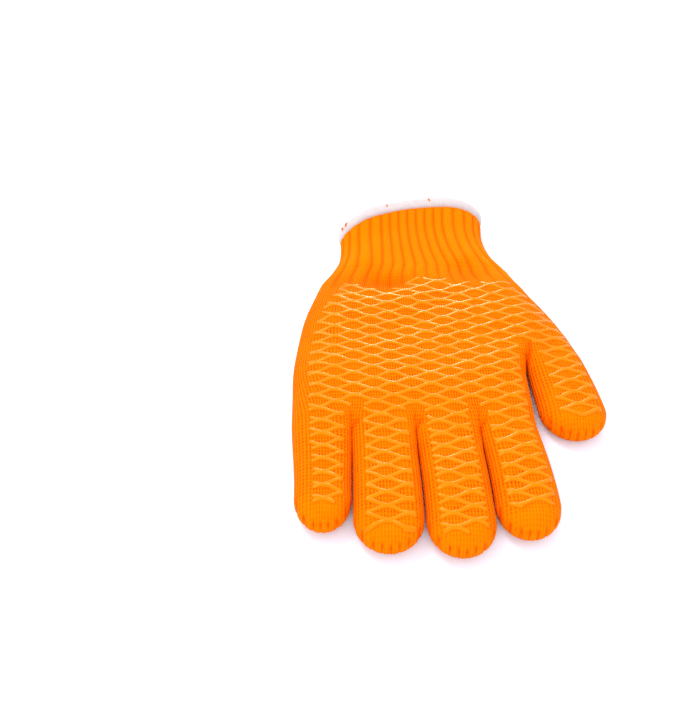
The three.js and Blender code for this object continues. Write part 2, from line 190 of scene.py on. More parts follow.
FINGER_ROWS = (
    TubeRow("little_finger", 0.95, 0.82, 0.91, 0.052, -0.027, 22),
    TubeRow("ring_finger", 1.0, 0.97, 1.05, 0.041, -0.033, 23),
    TubeRow("middle_finger", 1.0, 1.0, 1.02, 0.092, -0.068, 23),
    TubeRow("index_finger", 0.935, 0.875, 1.04, 0.156, -0.118, 22),
)
THUMB_ROW = TubeRow("thumb", 1.0, 1.0, 1.07, 0.18, -0.1, 24)
DENTS = (
    Dent(-0.17, 0.87, 0.26, 0.05, 0.2),
    Dent(-0.6, 0.9, 0.13, 0.09, 0.16),
    Dent(-0.34, 0.95, 0.14, 0.07, 0.13),
    Dent(0.62, 0.95, 0.22, 0.08, 0.14),
    Dent(0.1, 0.45, 0.6, 0.25, 0.06),
    Dent(0.3, 0.74, 0.12, 0.09, 0.05),
)
FINGER_CREASES = (
    Crease((0.0, -7.0), (0.5, -3.2), 0.8, 0.9),
    Crease((0.5, -3.2), (2.8, -0.6), 0.9, 1.0),
)
THUMB_CREASES = (
    Crease((0.0, -4.0), (1.6, 1.0), 1.0, 1.0),
    Crease((1.6, 1.0), (2.2, 6.0), 1.1, 0.8),
)
NET_BANDS = {
    "little_finger": NetBand(7.3, 2.8, 8.2, 3.0),
    "ring_finger": NetBand(4.6, 3.2, 5.6, 3.0),
    "middle_finger": NetBand(3.8, 3.8, 6.2, 1.7),
    "index_finger": NetBand(3.3, 3.1, 10.0, 0.6),
    "thumb": NetBand(6.0, 3.8, 7.0, 0.0),
}
CAUGHT_ENDS = (
    CaughtEnd(0.075, 0.6, 0.62),
    CaughtEnd(0.105, -0.5, 0.6),
    CaughtEnd(0.335, 0.3, 0.3),
    CaughtEnd(0.62, 0.4, 0.42),
)
LAMPS = (
    Lamp("key_softbox", (-0.5, 0.62, 0.95), 0.5, 7.5),
    Lamp("back_window", (0.1, 1.35, 0.5), 0.3, 8.0),
    Lamp("front_fill", (-0.15, -1.0, 0.85), 0.9, 5.6),
)


def ease(share: Array) -> Array:
    """Smooth step, 3 t squared less 2 t cubed, of a share kept within 0 and 1."""
    t = np.clip(share, 0.0, 1.0)
    return t * t * (3.0 - 2.0 * t)


def grow(place: Array, start: float, run: float) -> Array:
    """Smooth growth from 0 at a start to 1 a run further on."""
    return ease((place - start) / run)


def fade(place: Array, start: float, run: float) -> Array:
    """Smooth fall from 1 at a start to 0 a run further on."""
    return 1.0 - grow(place, start, run)


def dome(share: Array) -> Array:
    """Quarter ellipse that rises upright from 0 at share 0 to 1 at share 1 and stays level."""
    return np.sqrt(1.0 - (1.0 - np.clip(share, 0.0, 1.0)) ** 2)


def bell(share: Array) -> Array:
    """Bell of height 1, e to the power of less the square of a share."""
    return np.exp(-(share**2))


def ridges(turns: Array) -> Array:
    """Row of rounded ridges, one for each turn: the size of the sine of half a circle a turn."""
    return np.abs(np.sin(math.pi * turns))


def unit(ways: Array) -> Array:
    """Directions of length 1 along the last axis."""
    return ways / np.maximum(np.linalg.norm(ways, axis=-1, keepdims=True), TINY)


def through(rows: tuple, column: str, along: Array) -> Array:
    """Smooth curve through one column of a table.

    The curve is a cubic Hermite spline whose slope in each row is the mean slope of its neighbours.

    Args:
        rows: Table with a column named along, in rising order.
        column: Name of the column wanted.
        along: Places wanted, kept within the table.

    Returns:
        The column's value in each place.
    """
    places = np.array([row.along for row in rows])
    values = np.array([getattr(row, column) for row in rows])
    slopes = np.gradient(values, places)
    at = np.clip(along, places[0], places[-1])
    low = np.clip(np.searchsorted(places, at) - 1, 0, len(places) - 2)
    step = places[low + 1] - places[low]
    t = (at - places[low]) / step
    start = (2 * t**3 - 3 * t**2 + 1) * values[low] + (t**3 - 2 * t**2 + t) * step * slopes[low]
    end = (3 * t**2 - 2 * t**3) * values[low + 1] + (t**3 - t**2) * step * slopes[low + 1]
    return start + end


def waves(x: Array, y: Array, length: float, seed: int) -> Array:
    """Gentle unevenness between -1 and 1: the mean of six sine waves in seeded directions.

    Args:
        x: Places across, in millimetres.
        y: Places along, in millimetres.
        length: Middle length of the waves, in millimetres.
        seed: Seed of the directions, lengths and starts.

    Returns:
        The height in each place.
    """
    draw = np.random.default_rng(seed)
    shape = (WAVE_COUNT,) + (1,) * np.ndim(x)
    turns = draw.uniform(0.0, TURN, WAVE_COUNT).reshape(shape)
    lengths = length * draw.uniform(*WAVE_LENGTHS, WAVE_COUNT).reshape(shape)
    starts = draw.uniform(0.0, TURN, WAVE_COUNT).reshape(shape)
    along = x * np.cos(turns) + y * np.sin(turns)
    return np.sin(TURN * along / lengths + starts).mean(axis=0)


class Wander(NamedTuple):
    """Gentle unevenness of a size, with waves of a length in millimetres and its own seed."""

    size: float
    length: float
    seed: int

    def at(self, x: Array, y: Array) -> Array:
        """The unevenness at places of the plan."""
        return self.size * waves(x, y, self.length, self.seed)


def spread_across(
    share: Array, left: Array, right: Array, left_round: Array, right_round: Array
) -> Array:
    """Places across a section for even shares of its upper skin.

    The skin is a quarter circle up, a level stretch and a quarter circle down. A share runs round
    the arcs by angle, so the places crowd where the skin falls away, and evenly between them.

    Args:
        share: Shares from 0 at the left edge to 1 at the right edge.
        left: Left edge.
        right: Right edge.
        left_round: Radius of the left arc.
        right_round: Radius of the right arc.

    Returns:
        The places across.
    """
    weight = QUARTER_TURN * ARC_WEIGHT
    level = right - left - left_round - right_round
    total = weight * left_round + level + weight * right_round
    run = share * total
    rise = np.clip(run / (weight * left_round), 0.0, 1.0) * QUARTER_TURN
    fall = np.clip((total - run) / (weight * right_round), 0.0, 1.0) * QUARTER_TURN
    flat = np.clip(run - weight * left_round, 0.0, level)
    return left + left_round * (1.0 - np.cos(rise)) + flat + right_round * np.cos(fall)


@dataclass(frozen=True)
class Tube:
    """A finger or the thumb in the plan. Lengths are millimetres."""

    name: str
    start: float
    left: float
    right: float
    length: float
    height: float
    spread: float
    lean: float
    bend: float
    wales: int
    shut_left: bool
    shut_right: bool
    web: float = 0.72
    web_run: float = 17.0
    web_wide: float = 7.0
    tip_round: float = 15.0
    side_round: float = 7.5
    spread_rate: float = 1.5
    gap: float = 0.6
    gap_run: float = 42.0
    height_run: float = 14.0

    @property
    def root_middle(self) -> float:
        """Middle of the tube's root, across."""
        return (self.left + self.right) / 2

    @property
    def round_start(self) -> float:
        """Place along the glove where the round tip starts."""
        return self.start - self.length + self.tip_round

    def bent(self, share: Array) -> Array:
        """How far the centre line has moved sideways at a share of the length."""
        return self.length * share * (self.lean + self.bend * share)

    def edges(self, y: Array) -> tuple[Array, Array]:
        """Left and right edge at places along the glove.

        The width spreads over the first two thirds, and the edge beside a neighbour closes the gap
        to it towards the crotch.

        Args:
            y: Places along.

        Returns:
            The two edges in each place.
        """
        share = (self.start - y) / self.length
        centre = self.root_middle + self.bent(share)
        spread = 1.0 + (self.spread - 1.0) * ease(self.spread_rate * share)
        half = (self.right - self.left) / 2 * spread
        shut = self.gap / 2 * fade(self.start - y, 0.0, self.gap_run)
        return centre - half - shut * self.shut_left, centre + half + shut * self.shut_right

    def inside(self, x: Array, y: Array) -> Array:
        """Distance in from the nearest edge, or from the tip, which is half an ellipse.

        Args:
            x: Places across.
            y: Places along.

        Returns:
            The distance in millimetres, below 0 outside.
        """
        left, right = self.edges(y)
        half = (right - left) / 2
        across = (x - (left + right) / 2) / half
        past = np.maximum(0.0, (self.round_start - y) / self.tip_round)
        return half * (1.0 - np.hypot(across, past))

    def webbed(self, x: Array, y: Array) -> Array:
        """How far the skin is held up beside a neighbour, from the web at the crotch to nothing.

        It is a bell of the distance to a shut edge, and fades along the tube.

        Args:
            x: Places across.
            y: Places along.

        Returns:
            The share in each place.
        """
        left, right = self.edges(y)
        near_left = self.shut_left * bell((x - left) / self.web_wide)
        near_right = self.shut_right * bell((right - x) / self.web_wide)
        held = self.web * np.maximum(near_left, near_right)
        return held * fade(self.start - y, 0.0, self.web_run)

    def columns(self, share: Array, y: Array) -> Array:
        """Places across for shares of the upper skin at a place along the glove."""
        return spread_across(share, *self.edges(y), self.side_round, self.side_round)


@dataclass(frozen=True)
class GlovePlan:
    """Outline and height of the whole glove over its plan. Lengths are millimetres.

    A pair such as web_fade holds where a smooth change starts and the run that it takes.
    """

    palm_length: float = 103.0
    palm_height: float = 16.0
    finger_length: float = 63.5
    finger_width: float = 27.4
    finger_height: float = 13.0
    finger_gap: float = 0.6
    root_length: float = 1.65
    thumb_start: float = 38.0
    thumb_length: float = 43.3
    thumb_width: float = 27.6
    thumb_height: float = 13.5
    cuff_seam: float = 0.15
    cuff_length: float = 36.0
    wrist_width: float = 76.0
    wrist_height: float = 15.0
    mouth_width: float = 78.0
    mouth_height: float = 20.0
    mouth_skew: float = 16.0
    mouth_bow: float = 8.5
    side_round: float = 7.5
    palm_round: float = 20.0
    heel_run: float = 34.0
    base_round: float = 5.0
    belly_share: float = 0.42
    lift: float = 0.65
    unevenness: tuple[Wander, ...] = (Wander(0.55, 34.0, 5), Wander(0.1925, 13.0, 8))
    crotch_stretch: float = 2.6
    split_run: float = 9.0
    thumb_side_run: float = 14.0
    thumb_base_fade: tuple[float, float] = (80.0, 20.0)
    web: float = 0.72
    web_wide: float = 7.0
    web_fade: tuple[float, float] = (12.0, 12.0)
    thumb_web: float = 0.5
    thumb_web_run: float = 11.0
    thumb_web_fade: tuple[float, float] = (46.0, 14.0)
    front_depth: float = 0.1
    front_shift: float = 0.1

    @cached_property
    def half(self) -> float:
        """Half the width across the four finger roots."""
        shares = sum(row.width for row in FINGER_ROWS)
        return shares * self.finger_width / 2 + (len(FINGER_ROWS) - 1) / 2 * self.finger_gap

    @cached_property
    def origin(self) -> tuple[float, float]:
        """Middle of the finger crotches in the part's frame, from the palm's own solid.

        Returns:
            Its place across and along, in millimetres.
        """
        low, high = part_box("palm")
        places = np.array([vertex.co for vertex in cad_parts["palm"].data.vertices]) / MM
        front = places[places[:, 1] < low.y / MM + self.front_depth]
        middle = (front[:, 0].min() + front[:, 0].max()) / 2
        return middle - self.front_shift, high.y / MM - self.palm_length

    @cached_property
    def fingers(self) -> list[Tube]:
        """The four fingers, side by side across the palm's front.

        Returns:
            The fingers from the little one.
        """
        fingers = []
        left = -self.half
        for place, row in enumerate(FINGER_ROWS):
            right = left + row.width * self.finger_width
            fingers.append(Tube(
                row.name, 0.0, left, right, row.length * self.finger_length, self.finger_height,
                row.spread, row.lean, row.bend, row.wales, place > 0, place < len(FINGER_ROWS) - 1,
            ))
            left = right + self.finger_gap
        return fingers

    @cached_property
    def thumb(self) -> Tube:
        """The thumb beside the palm, shut against it on its left.

        Returns:
            The thumb.
        """
        row = THUMB_ROW
        left = float(self.palm_right(self.thumb_start)) + self.finger_gap
        return Tube(
            row.name, self.thumb_start, left, left + self.thumb_width, self.thumb_length,
            self.thumb_height, row.spread, row.lean, row.bend, row.wales, True, False,
            web=self.thumb_web, web_run=self.thumb_web_run,
        )

    @cached_property
    def tubes(self) -> list[Tube]:
        """Fingers from the little one, and then the thumb."""
        return [*self.fingers, self.thumb]

    @cached_property
    def names(self) -> list[str]:
        """Names of the solids that are knitted in one and printed: the palm and each tube."""
        return ["palm"] + [tube.name for tube in self.tubes]

    @cached_property
    def wales(self) -> int:
        """Count of wales over the upper face, from the left edge to the right."""
        return sum(tube.wales for tube in self.tubes)

    @cached_property
    def slits(self) -> list[float]:
        """Places across of the three crotches between the fingers."""
        return [(low.right + high.left) / 2 for low, high in zip(self.fingers, self.fingers[1:])]

    @cached_property
    def thumb_crotch(self) -> float:
        """Place across of the crotch between the hand and the thumb."""
        return float(self.split(np.array(self.thumb_start)))

    @property
    def palm_end(self) -> float:
        """Place along where the palm ends and the cuff starts."""
        return self.palm_length + self.cuff_seam

    def palm_right(self, y: Array) -> Array:
        """Right edge of the palm without the thumb."""
        return self.half * through(PALM_ROWS, "right", y / self.palm_length)

    def split(self, y: Array) -> Array:
        """Right edge of the hand beside the thumb, and above its crotch the line up from it."""
        edge = self.palm_right(np.minimum(y, self.thumb_start))
        return edge + self.finger_gap / 2 * fade(self.thumb_start - y, 0.0, self.split_run)

    def thumb_share(self, y: Array) -> Array:
        """Share of the way from the thumb's start to the cuff."""
        return (y - self.thumb_start) / (self.palm_length - self.thumb_start)

    def left_edge(self, y: Array) -> Array:
        """Left edge of the palm."""
        return -self.half * through(PALM_ROWS, "left", y / self.palm_length)

    def right_edge(self, y: Array) -> Array:
        """Right edge of the palm with the base of the thumb."""
        stand = self.finger_gap + self.thumb_width
        return self.palm_right(y) + stand * through(THUMB_ROWS, "reach", self.thumb_share(y))

    def left_round(self, y: Array) -> Array:
        """Radius of the palm's left side, tight at the finger and wide at the heel."""
        return self.side_round + (self.palm_round - self.side_round) * grow(y, 0.0, self.heel_run)

    def right_round(self, y: Array) -> Array:
        """Radius of the right side, tight at the thumb and wide at the heel."""
        return self.left_round(y - self.thumb_start)

    def height(self, x: Array, y: Array) -> Array:
        """Height of the hand's upper skin: the palm's, passing into the thumb base's beside it.

        Args:
            x: Places across.
            y: Places along.

        Returns:
            The height in each place.
        """
        palm = self.palm_height * through(PALM_ROWS, "height", y / self.palm_length)
        thumb = self.thumb_height * through(THUMB_ROWS, "height", self.thumb_share(y))
        beside = grow(x, self.split(y), self.thumb_side_run) * (y > self.thumb_start - MM)
        return palm + (thumb - palm) * beside * fade(y, *self.thumb_base_fade)

    def tube_height(self, tube: Tube, x: Array, y: Array) -> Array:
        """Height of a finger or thumb, meeting the hand's where it leaves it.

        Args:
            tube: The finger or thumb.
            x: Places across.
            y: Places along.

        Returns:
            The height in each place.
        """
        root = self.height(x, np.full_like(y, tube.start))
        share = grow(y, tube.start - tube.height_run, tube.height_run)
        return tube.height + (root - tube.height) * share

    def hand_fill(self, x: Array, y: Array, scale: float) -> Array:
        """How full the hand is, 0 at its outline and 1 on its level top.

        It is the product of one dome for each edge and one round each crotch, by the distance to it
        over a radius.

        Args:
            x: Places across.
            y: Places along.
            scale: Scale of every radius, 1 above and less for the tighter round underneath.

        Returns:
            The share in each place.
        """
        upper = y >= self.thumb_start
        right = np.where(upper, self.right_edge(y), self.split(y))
        right_round = np.where(upper, self.right_round(y), self.side_round)
        fill = dome((x - self.left_edge(y)) / (scale * self.left_round(y)))
        fill = fill * dome((right - x) / (scale * right_round))
        past = self.crotch_stretch * np.maximum(y, 0.0)
        for slit in self.slits:
            fill = fill * dome(np.hypot(x - slit, past) / (scale * self.side_round))
        past = self.crotch_stretch * np.maximum(y - self.thumb_start, 0.0)
        crotch = np.hypot(x - self.thumb_crotch, past)
        return fill * np.where(upper, dome(crotch / (scale * self.side_round)), 1.0)

    def hand_web(self, x: Array, y: Array) -> Array:
        """How far the hand's skin is held up beside the crotches, as the fingers' is.

        Args:
            x: Places across.
            y: Places along.

        Returns:
            The share in each place, the larger of the bells round the lines of the crotches.
        """
        near = np.zeros_like(x)
        for slit in self.slits:
            near = np.maximum(near, self.web * bell((x - slit) / self.web_wide))
        thumb = self.thumb_web * bell((x - self.split(y)) / self.web_wide)
        thumb = thumb * fade(self.thumb_start - y, 0.0, self.thumb_web_run)
        return np.maximum(near * fade(y, *self.web_fade), thumb * fade(y, *self.thumb_web_fade))

    def crease(self, x: Array, y: Array) -> Array:
        """Depth of the short folds that curl away from each crotch.

        Args:
            x: Places across.
            y: Places along.

        Returns:
            The depth in each place: a narrow bell of the distance to each fold's line.
        """
        depth = np.zeros_like(x)
        crotches = [(slit, 0.0, FINGER_CREASES) for slit in self.slits]
        crotches.append((self.thumb_crotch, self.thumb_start, THUMB_CREASES))
        for crotch_x, crotch_y, folds in crotches:
            for fold_and_shade in folds:
                run = np.subtract(fold_and_shade.end, fold_and_shade.start)
                past_x = x - crotch_x - fold_and_shade.start[0]
                past_y = y - crotch_y - fold_and_shade.start[1]
                share = np.clip((past_x * run[0] + past_y * run[1]) / (run @ run), 0.0, 1.0)
                away = np.hypot(past_x - share * run[0], past_y - share * run[1])
                depth = np.maximum(depth, fold_and_shade.deep * bell(away / fold_and_shade.wide))
        return depth

    def dent(self, x: Array, y: Array) -> Array:
        """Depth of the dents, each a bell over the plan.

        Args:
            x: Places across.
            y: Places along.

        Returns:
            The depth in each place.
        """
        depth = np.zeros_like(x)
        for dent in DENTS:
            across = (x / self.half - dent.across) / dent.wide
            along = (y / self.palm_length - dent.along) / dent.long
            depth = depth + dent.deep * self.palm_height * bell(np.hypot(across, along))
        return depth

    def hollow(self, x: Array, y: Array) -> Array:
        """Depth of the dents and creases, less a gentle unevenness."""
        return self.dent(x, y) + self.crease(x, y) - sum(part.at(x, y) for part in self.unevenness)

    def skins(self, x: Array, y: Array, tube: Tube | None = None) -> tuple[Array, Array]:
        """Heights of the upper and the under skin, in the hand or in a finger or thumb.

        Both start on the outline at the belly's height, or higher beside a web: the upper one rises
        by the dome to the full height and the under one falls by a tighter dome to where the glove
        lies.

        Args:
            x: Places across.
            y: Places along.
            tube: The finger or thumb that the places lie in, or None in the hand.

        Returns:
            The two heights.
        """
        if tube is None:
            height = self.height(x, y)
            fill = self.hand_fill(x, y, 1.0)
            under = self.hand_fill(x, y, self.base_round / self.side_round)
            web = self.hand_web(x, y)
        else:
            height = self.tube_height(tube, x, y)
            fill = dome(tube.inside(x, y) / tube.side_round)
            under = dome(tube.inside(x, y) / self.base_round)
            web = tube.webbed(x, y)
        belly = self.belly_share * height
        rise = (height - belly) * (1.0 - (1.0 - fill) * (1.0 - web))
        edge = belly + (height - belly) * web
        return belly + rise - self.hollow(x, y) * fill, edge - (edge - self.lift) * under

    def anywhere(self, x: Array, y: Array) -> tuple[Array, Array]:
        """Heights of the two skins in any place of the glove.

        Args:
            x: Places across.
            y: Places along.

        Returns:
            The two heights, each place taken from the hand, finger or thumb that it is in.
        """
        top, base = self.skins(x, np.maximum(y, 0.0))
        for tube in self.fingers:
            reach = tube.gap + (tube.right - tube.left) / 2
            inner = (y < 0.0) & (np.abs(x - sum(tube.edges(y)) / 2) < reach)
            own_top, own_base = self.skins(x, y, tube)
            top, base = np.where(inner, own_top, top), np.where(inner, own_base, base)
        inner = (y < self.thumb.start) & (x > self.thumb.edges(y)[0])
        own_top, own_base = self.skins(x, y, self.thumb)
        return np.where(inner, own_top, top), np.where(inner, own_base, base)


@dataclass(frozen=True)
class Gauge:
    """What the hand and the cuff share, being knitted in one on one machine. In millimetres."""

    wall: float = 1.8
    course: float = 1.75
    ribs: int = 17
    rib_stand: float = 0.9
    rib_shape: float = 0.8
    rib_shade: float = 0.7
    dent_shade: float = 0.13
    pressed: float = 0.5

    def rib(self, turns: Array) -> Array:
        """Height of the ribs from 0 to 1, a steeper sine of half a turn a rib."""
        return ridges(turns) ** self.rib_shape

    def groove(self, turns: Array) -> Array:
        """How deep in shade a place lies between the ribs."""
        return self.rib_shade * (1.0 - ridges(turns)) ** 2

    def flattened(self, normals: Array) -> Array:
        """Share of the relief that is left where the glove lies on it, by normals facing down."""
        return 1.0 - self.pressed * np.clip(-normals[..., 2], 0.0, 1.0)


class WeldedSkin(NamedTuple):
    """A welded skin: points, normals, quads with a wale and course at each corner, and labels."""

    points: Array
    normals: Array
    stands: Array
    marks: Array
    quads: Array
    uvs: Array
    labels: Array
    turned: Array


def meeting(points: Array, cells_per_mm: float) -> tuple[Array, Array]:
    """Makes points in one place one.

    Args:
        points: Points in millimetres.
        cells_per_mm: Fineness of the cells in which points count as one.

    Returns:
        Numbers of the points that are kept, and for every point its number among those.
    """
    cells = np.round(points * cells_per_mm).astype(np.int64)
    _, first, turned = np.unique(cells, axis=0, return_index=True, return_inverse=True)
    return first, turned.reshape(-1)


def face_normals(points: Array, quads: Array) -> Array:
    """Outward normals at points.

    Args:
        points: Points of a mesh.
        quads: Its faces.

    Returns:
        The cross products of the diagonals of the quads round each point, summed, at length 1.
    """
    corner = points[quads]
    across = np.cross(corner[:, 2] - corner[:, 0], corner[:, 3] - corner[:, 1])
    normals = np.zeros_like(points)
    for place in range(4):
        np.add.at(normals, quads[:, place], across)
    return unit(normals)


@dataclass
class Skin:
    """Grids of points in the plan that are welded where they meet. Lengths are millimetres."""

    cells_per_mm: float = 2000.0
    points: list[Array] = field(default_factory=list)
    stands: list[Array] = field(default_factory=list)
    marks: list[Array] = field(default_factory=list)
    quads: list[Array] = field(default_factory=list)
    uvs: list[Array] = field(default_factory=list)
    labels: list[Array] = field(default_factory=list)
    count: int = 0

    def add(
        self, grid: Array, stand: Array, marks: Array, uv: Array, label: int, side: Side
    ) -> Array:
        """Adds a grid of points as quads.

        Args:
            grid: Points, shape (rows, columns, 3), rows to the fingertips and columns to the right.
            stand: How far each point is to stand out of the skin.
            marks: How deep in a fold each point lies and how tight its knit is, from 0 to 1.
            uv: Wale and course of each point.
            label: Number of the piece that the grid belongs to.
            side: Which face of the glove it is, so that its quads face out.

        Returns:
            The grid's point numbers before welding.
        """
        rows, columns = stand.shape
        numbers = self.count + np.arange(rows * columns).reshape(rows, columns)
        corners = [numbers[:-1, :-1], numbers[1:, :-1], numbers[1:, 1:], numbers[:-1, 1:]]
        turn = 1 if side is Side.UPPER else -1
        quads = np.stack(corners[::turn], axis=-1).reshape(-1, 4)
        self.points.append(grid.reshape(-1, 3))
        self.stands.append(stand.ravel())
        self.marks.append(marks.reshape(-1, len(MARKS)))
        self.quads.append(quads)
        self.uvs.append(uv.reshape(-1, 2)[quads - self.count])
        self.labels.append(np.full(len(quads), label))
        self.count += rows * columns
        return numbers

    def weld(self) -> WeldedSkin:
        """Makes points in one place one.

        Returns:
            The welded skin, with outward normals at its points.
        """
        points = np.concatenate(self.points)
        first, turned = meeting(points, self.cells_per_mm)
        points = points[first]
        quads = turned[np.concatenate(self.quads)]
        stands = np.concatenate(self.stands)[first]
        marks = np.concatenate(self.marks)[first]
        uvs, labels = np.concatenate(self.uvs), np.concatenate(self.labels)
        normals = face_normals(points, quads)
        return WeldedSkin(points, normals, stands, marks, quads, uvs, labels, turned)


@dataclass
class MeshDraft:
    """Faces of one piece in plan millimetres, put together before the mesh is made."""

    points: Array
    normals: Array | None = None
    marks: Array | None = None
    faces: list[Array] = field(default_factory=list)
    uvs: list[Array] = field(default_factory=list)

    def add(self, faces: Array, uvs: Array) -> None:
        """Adds faces of one count of corners.

        Quads with a doubled corner become triangles, and thinner ones are left out.

        Args:
            faces: Point numbers, shape (faces, corners).
            uvs: Texture place of each corner.
        """
        if faces.shape[1] != 4:
            self.faces.append(faces)
            self.uvs.append(uvs)
            return
        same = faces == np.roll(faces, -1, axis=1)
        whole = ~same.any(axis=1) & (faces[:, 0] != faces[:, 2]) & (faces[:, 1] != faces[:, 3])
        folded = same.sum(axis=1) == 1
        keep = ~same[folded]
        self.faces += [faces[whole], faces[folded][keep].reshape(-1, 3)]
        self.uvs += [uvs[whole], uvs[folded][keep].reshape(-1, 3, 2)]

    def build(self, name: str, origin: tuple[float, float]) -> bpy.types.Object:
        """Makes the mesh object, in metres and in the part's frame, with its points' own normals.

        Args:
            name: Name of the piece.
            origin: Middle of the plan in the part's frame, in millimetres.

        Returns:
            The piece.
        """
        loose = np.concatenate([part.ravel() for part in self.faces])
        used, corners = np.unique(loose, return_inverse=True)
        places = (self.points[used] + np.array([*origin, 0.0])) * MM
        totals = np.concatenate([np.full(len(part), part.shape[1]) for part in self.faces])
        uvs = np.concatenate([part.reshape(-1, 2) for part in self.uvs])
        mesh = bpy.data.meshes.new(name)
        mesh.vertices.add(len(used))
        mesh.vertices.foreach_set("co", places.astype(np.float32).ravel())
        mesh.loops.add(len(loose))
        mesh.loops.foreach_set("vertex_index", corners.reshape(-1).astype(np.int32))
        mesh.polygons.add(len(totals))
        mesh.polygons.foreach_set("loop_start", (np.cumsum(totals) - totals).astype(np.int32))
        mesh.polygons.foreach_set("use_smooth", np.ones(len(totals), dtype=bool))
        layer = mesh.uv_layers.new(name=UV_LAYER)
        layer.data.foreach_set("uv", uvs.astype(np.float32).ravel())
        mesh.update(calc_edges=True)
        mesh.validate()
        if self.marks is not None:
            for mark, values in zip(MARKS, self.marks[used].T.astype(np.float32)):
                layer = mesh.attributes.new(mark, "FLOAT", "POINT")
                layer.data.foreach_set("value", np.ascontiguousarray(values))
        if self.normals is not None:
            mesh.normals_split_custom_set_from_vertices(self.normals[used].tolist())
        piece = bpy.data.objects.new(name, mesh)
        bpy.context.scene.collection.objects.link(piece)
        return piece


def hang(piece: bpy.types.Object, material: bpy.types.Material, slot: str, *nodes: str) -> None:
    """Gives a piece its material and ties it to the frame.

    Args:
        piece: The finished piece.
        material: Its material.
        slot: The record's material slot, not used.
        *nodes: The solids that it stands for.
    """
    piece.data.materials.append(material)
    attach(piece, BODY)
    if nodes:
        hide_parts(*nodes)
    LOG.info("%s: %d faces", piece.name, len(piece.data.polygons))


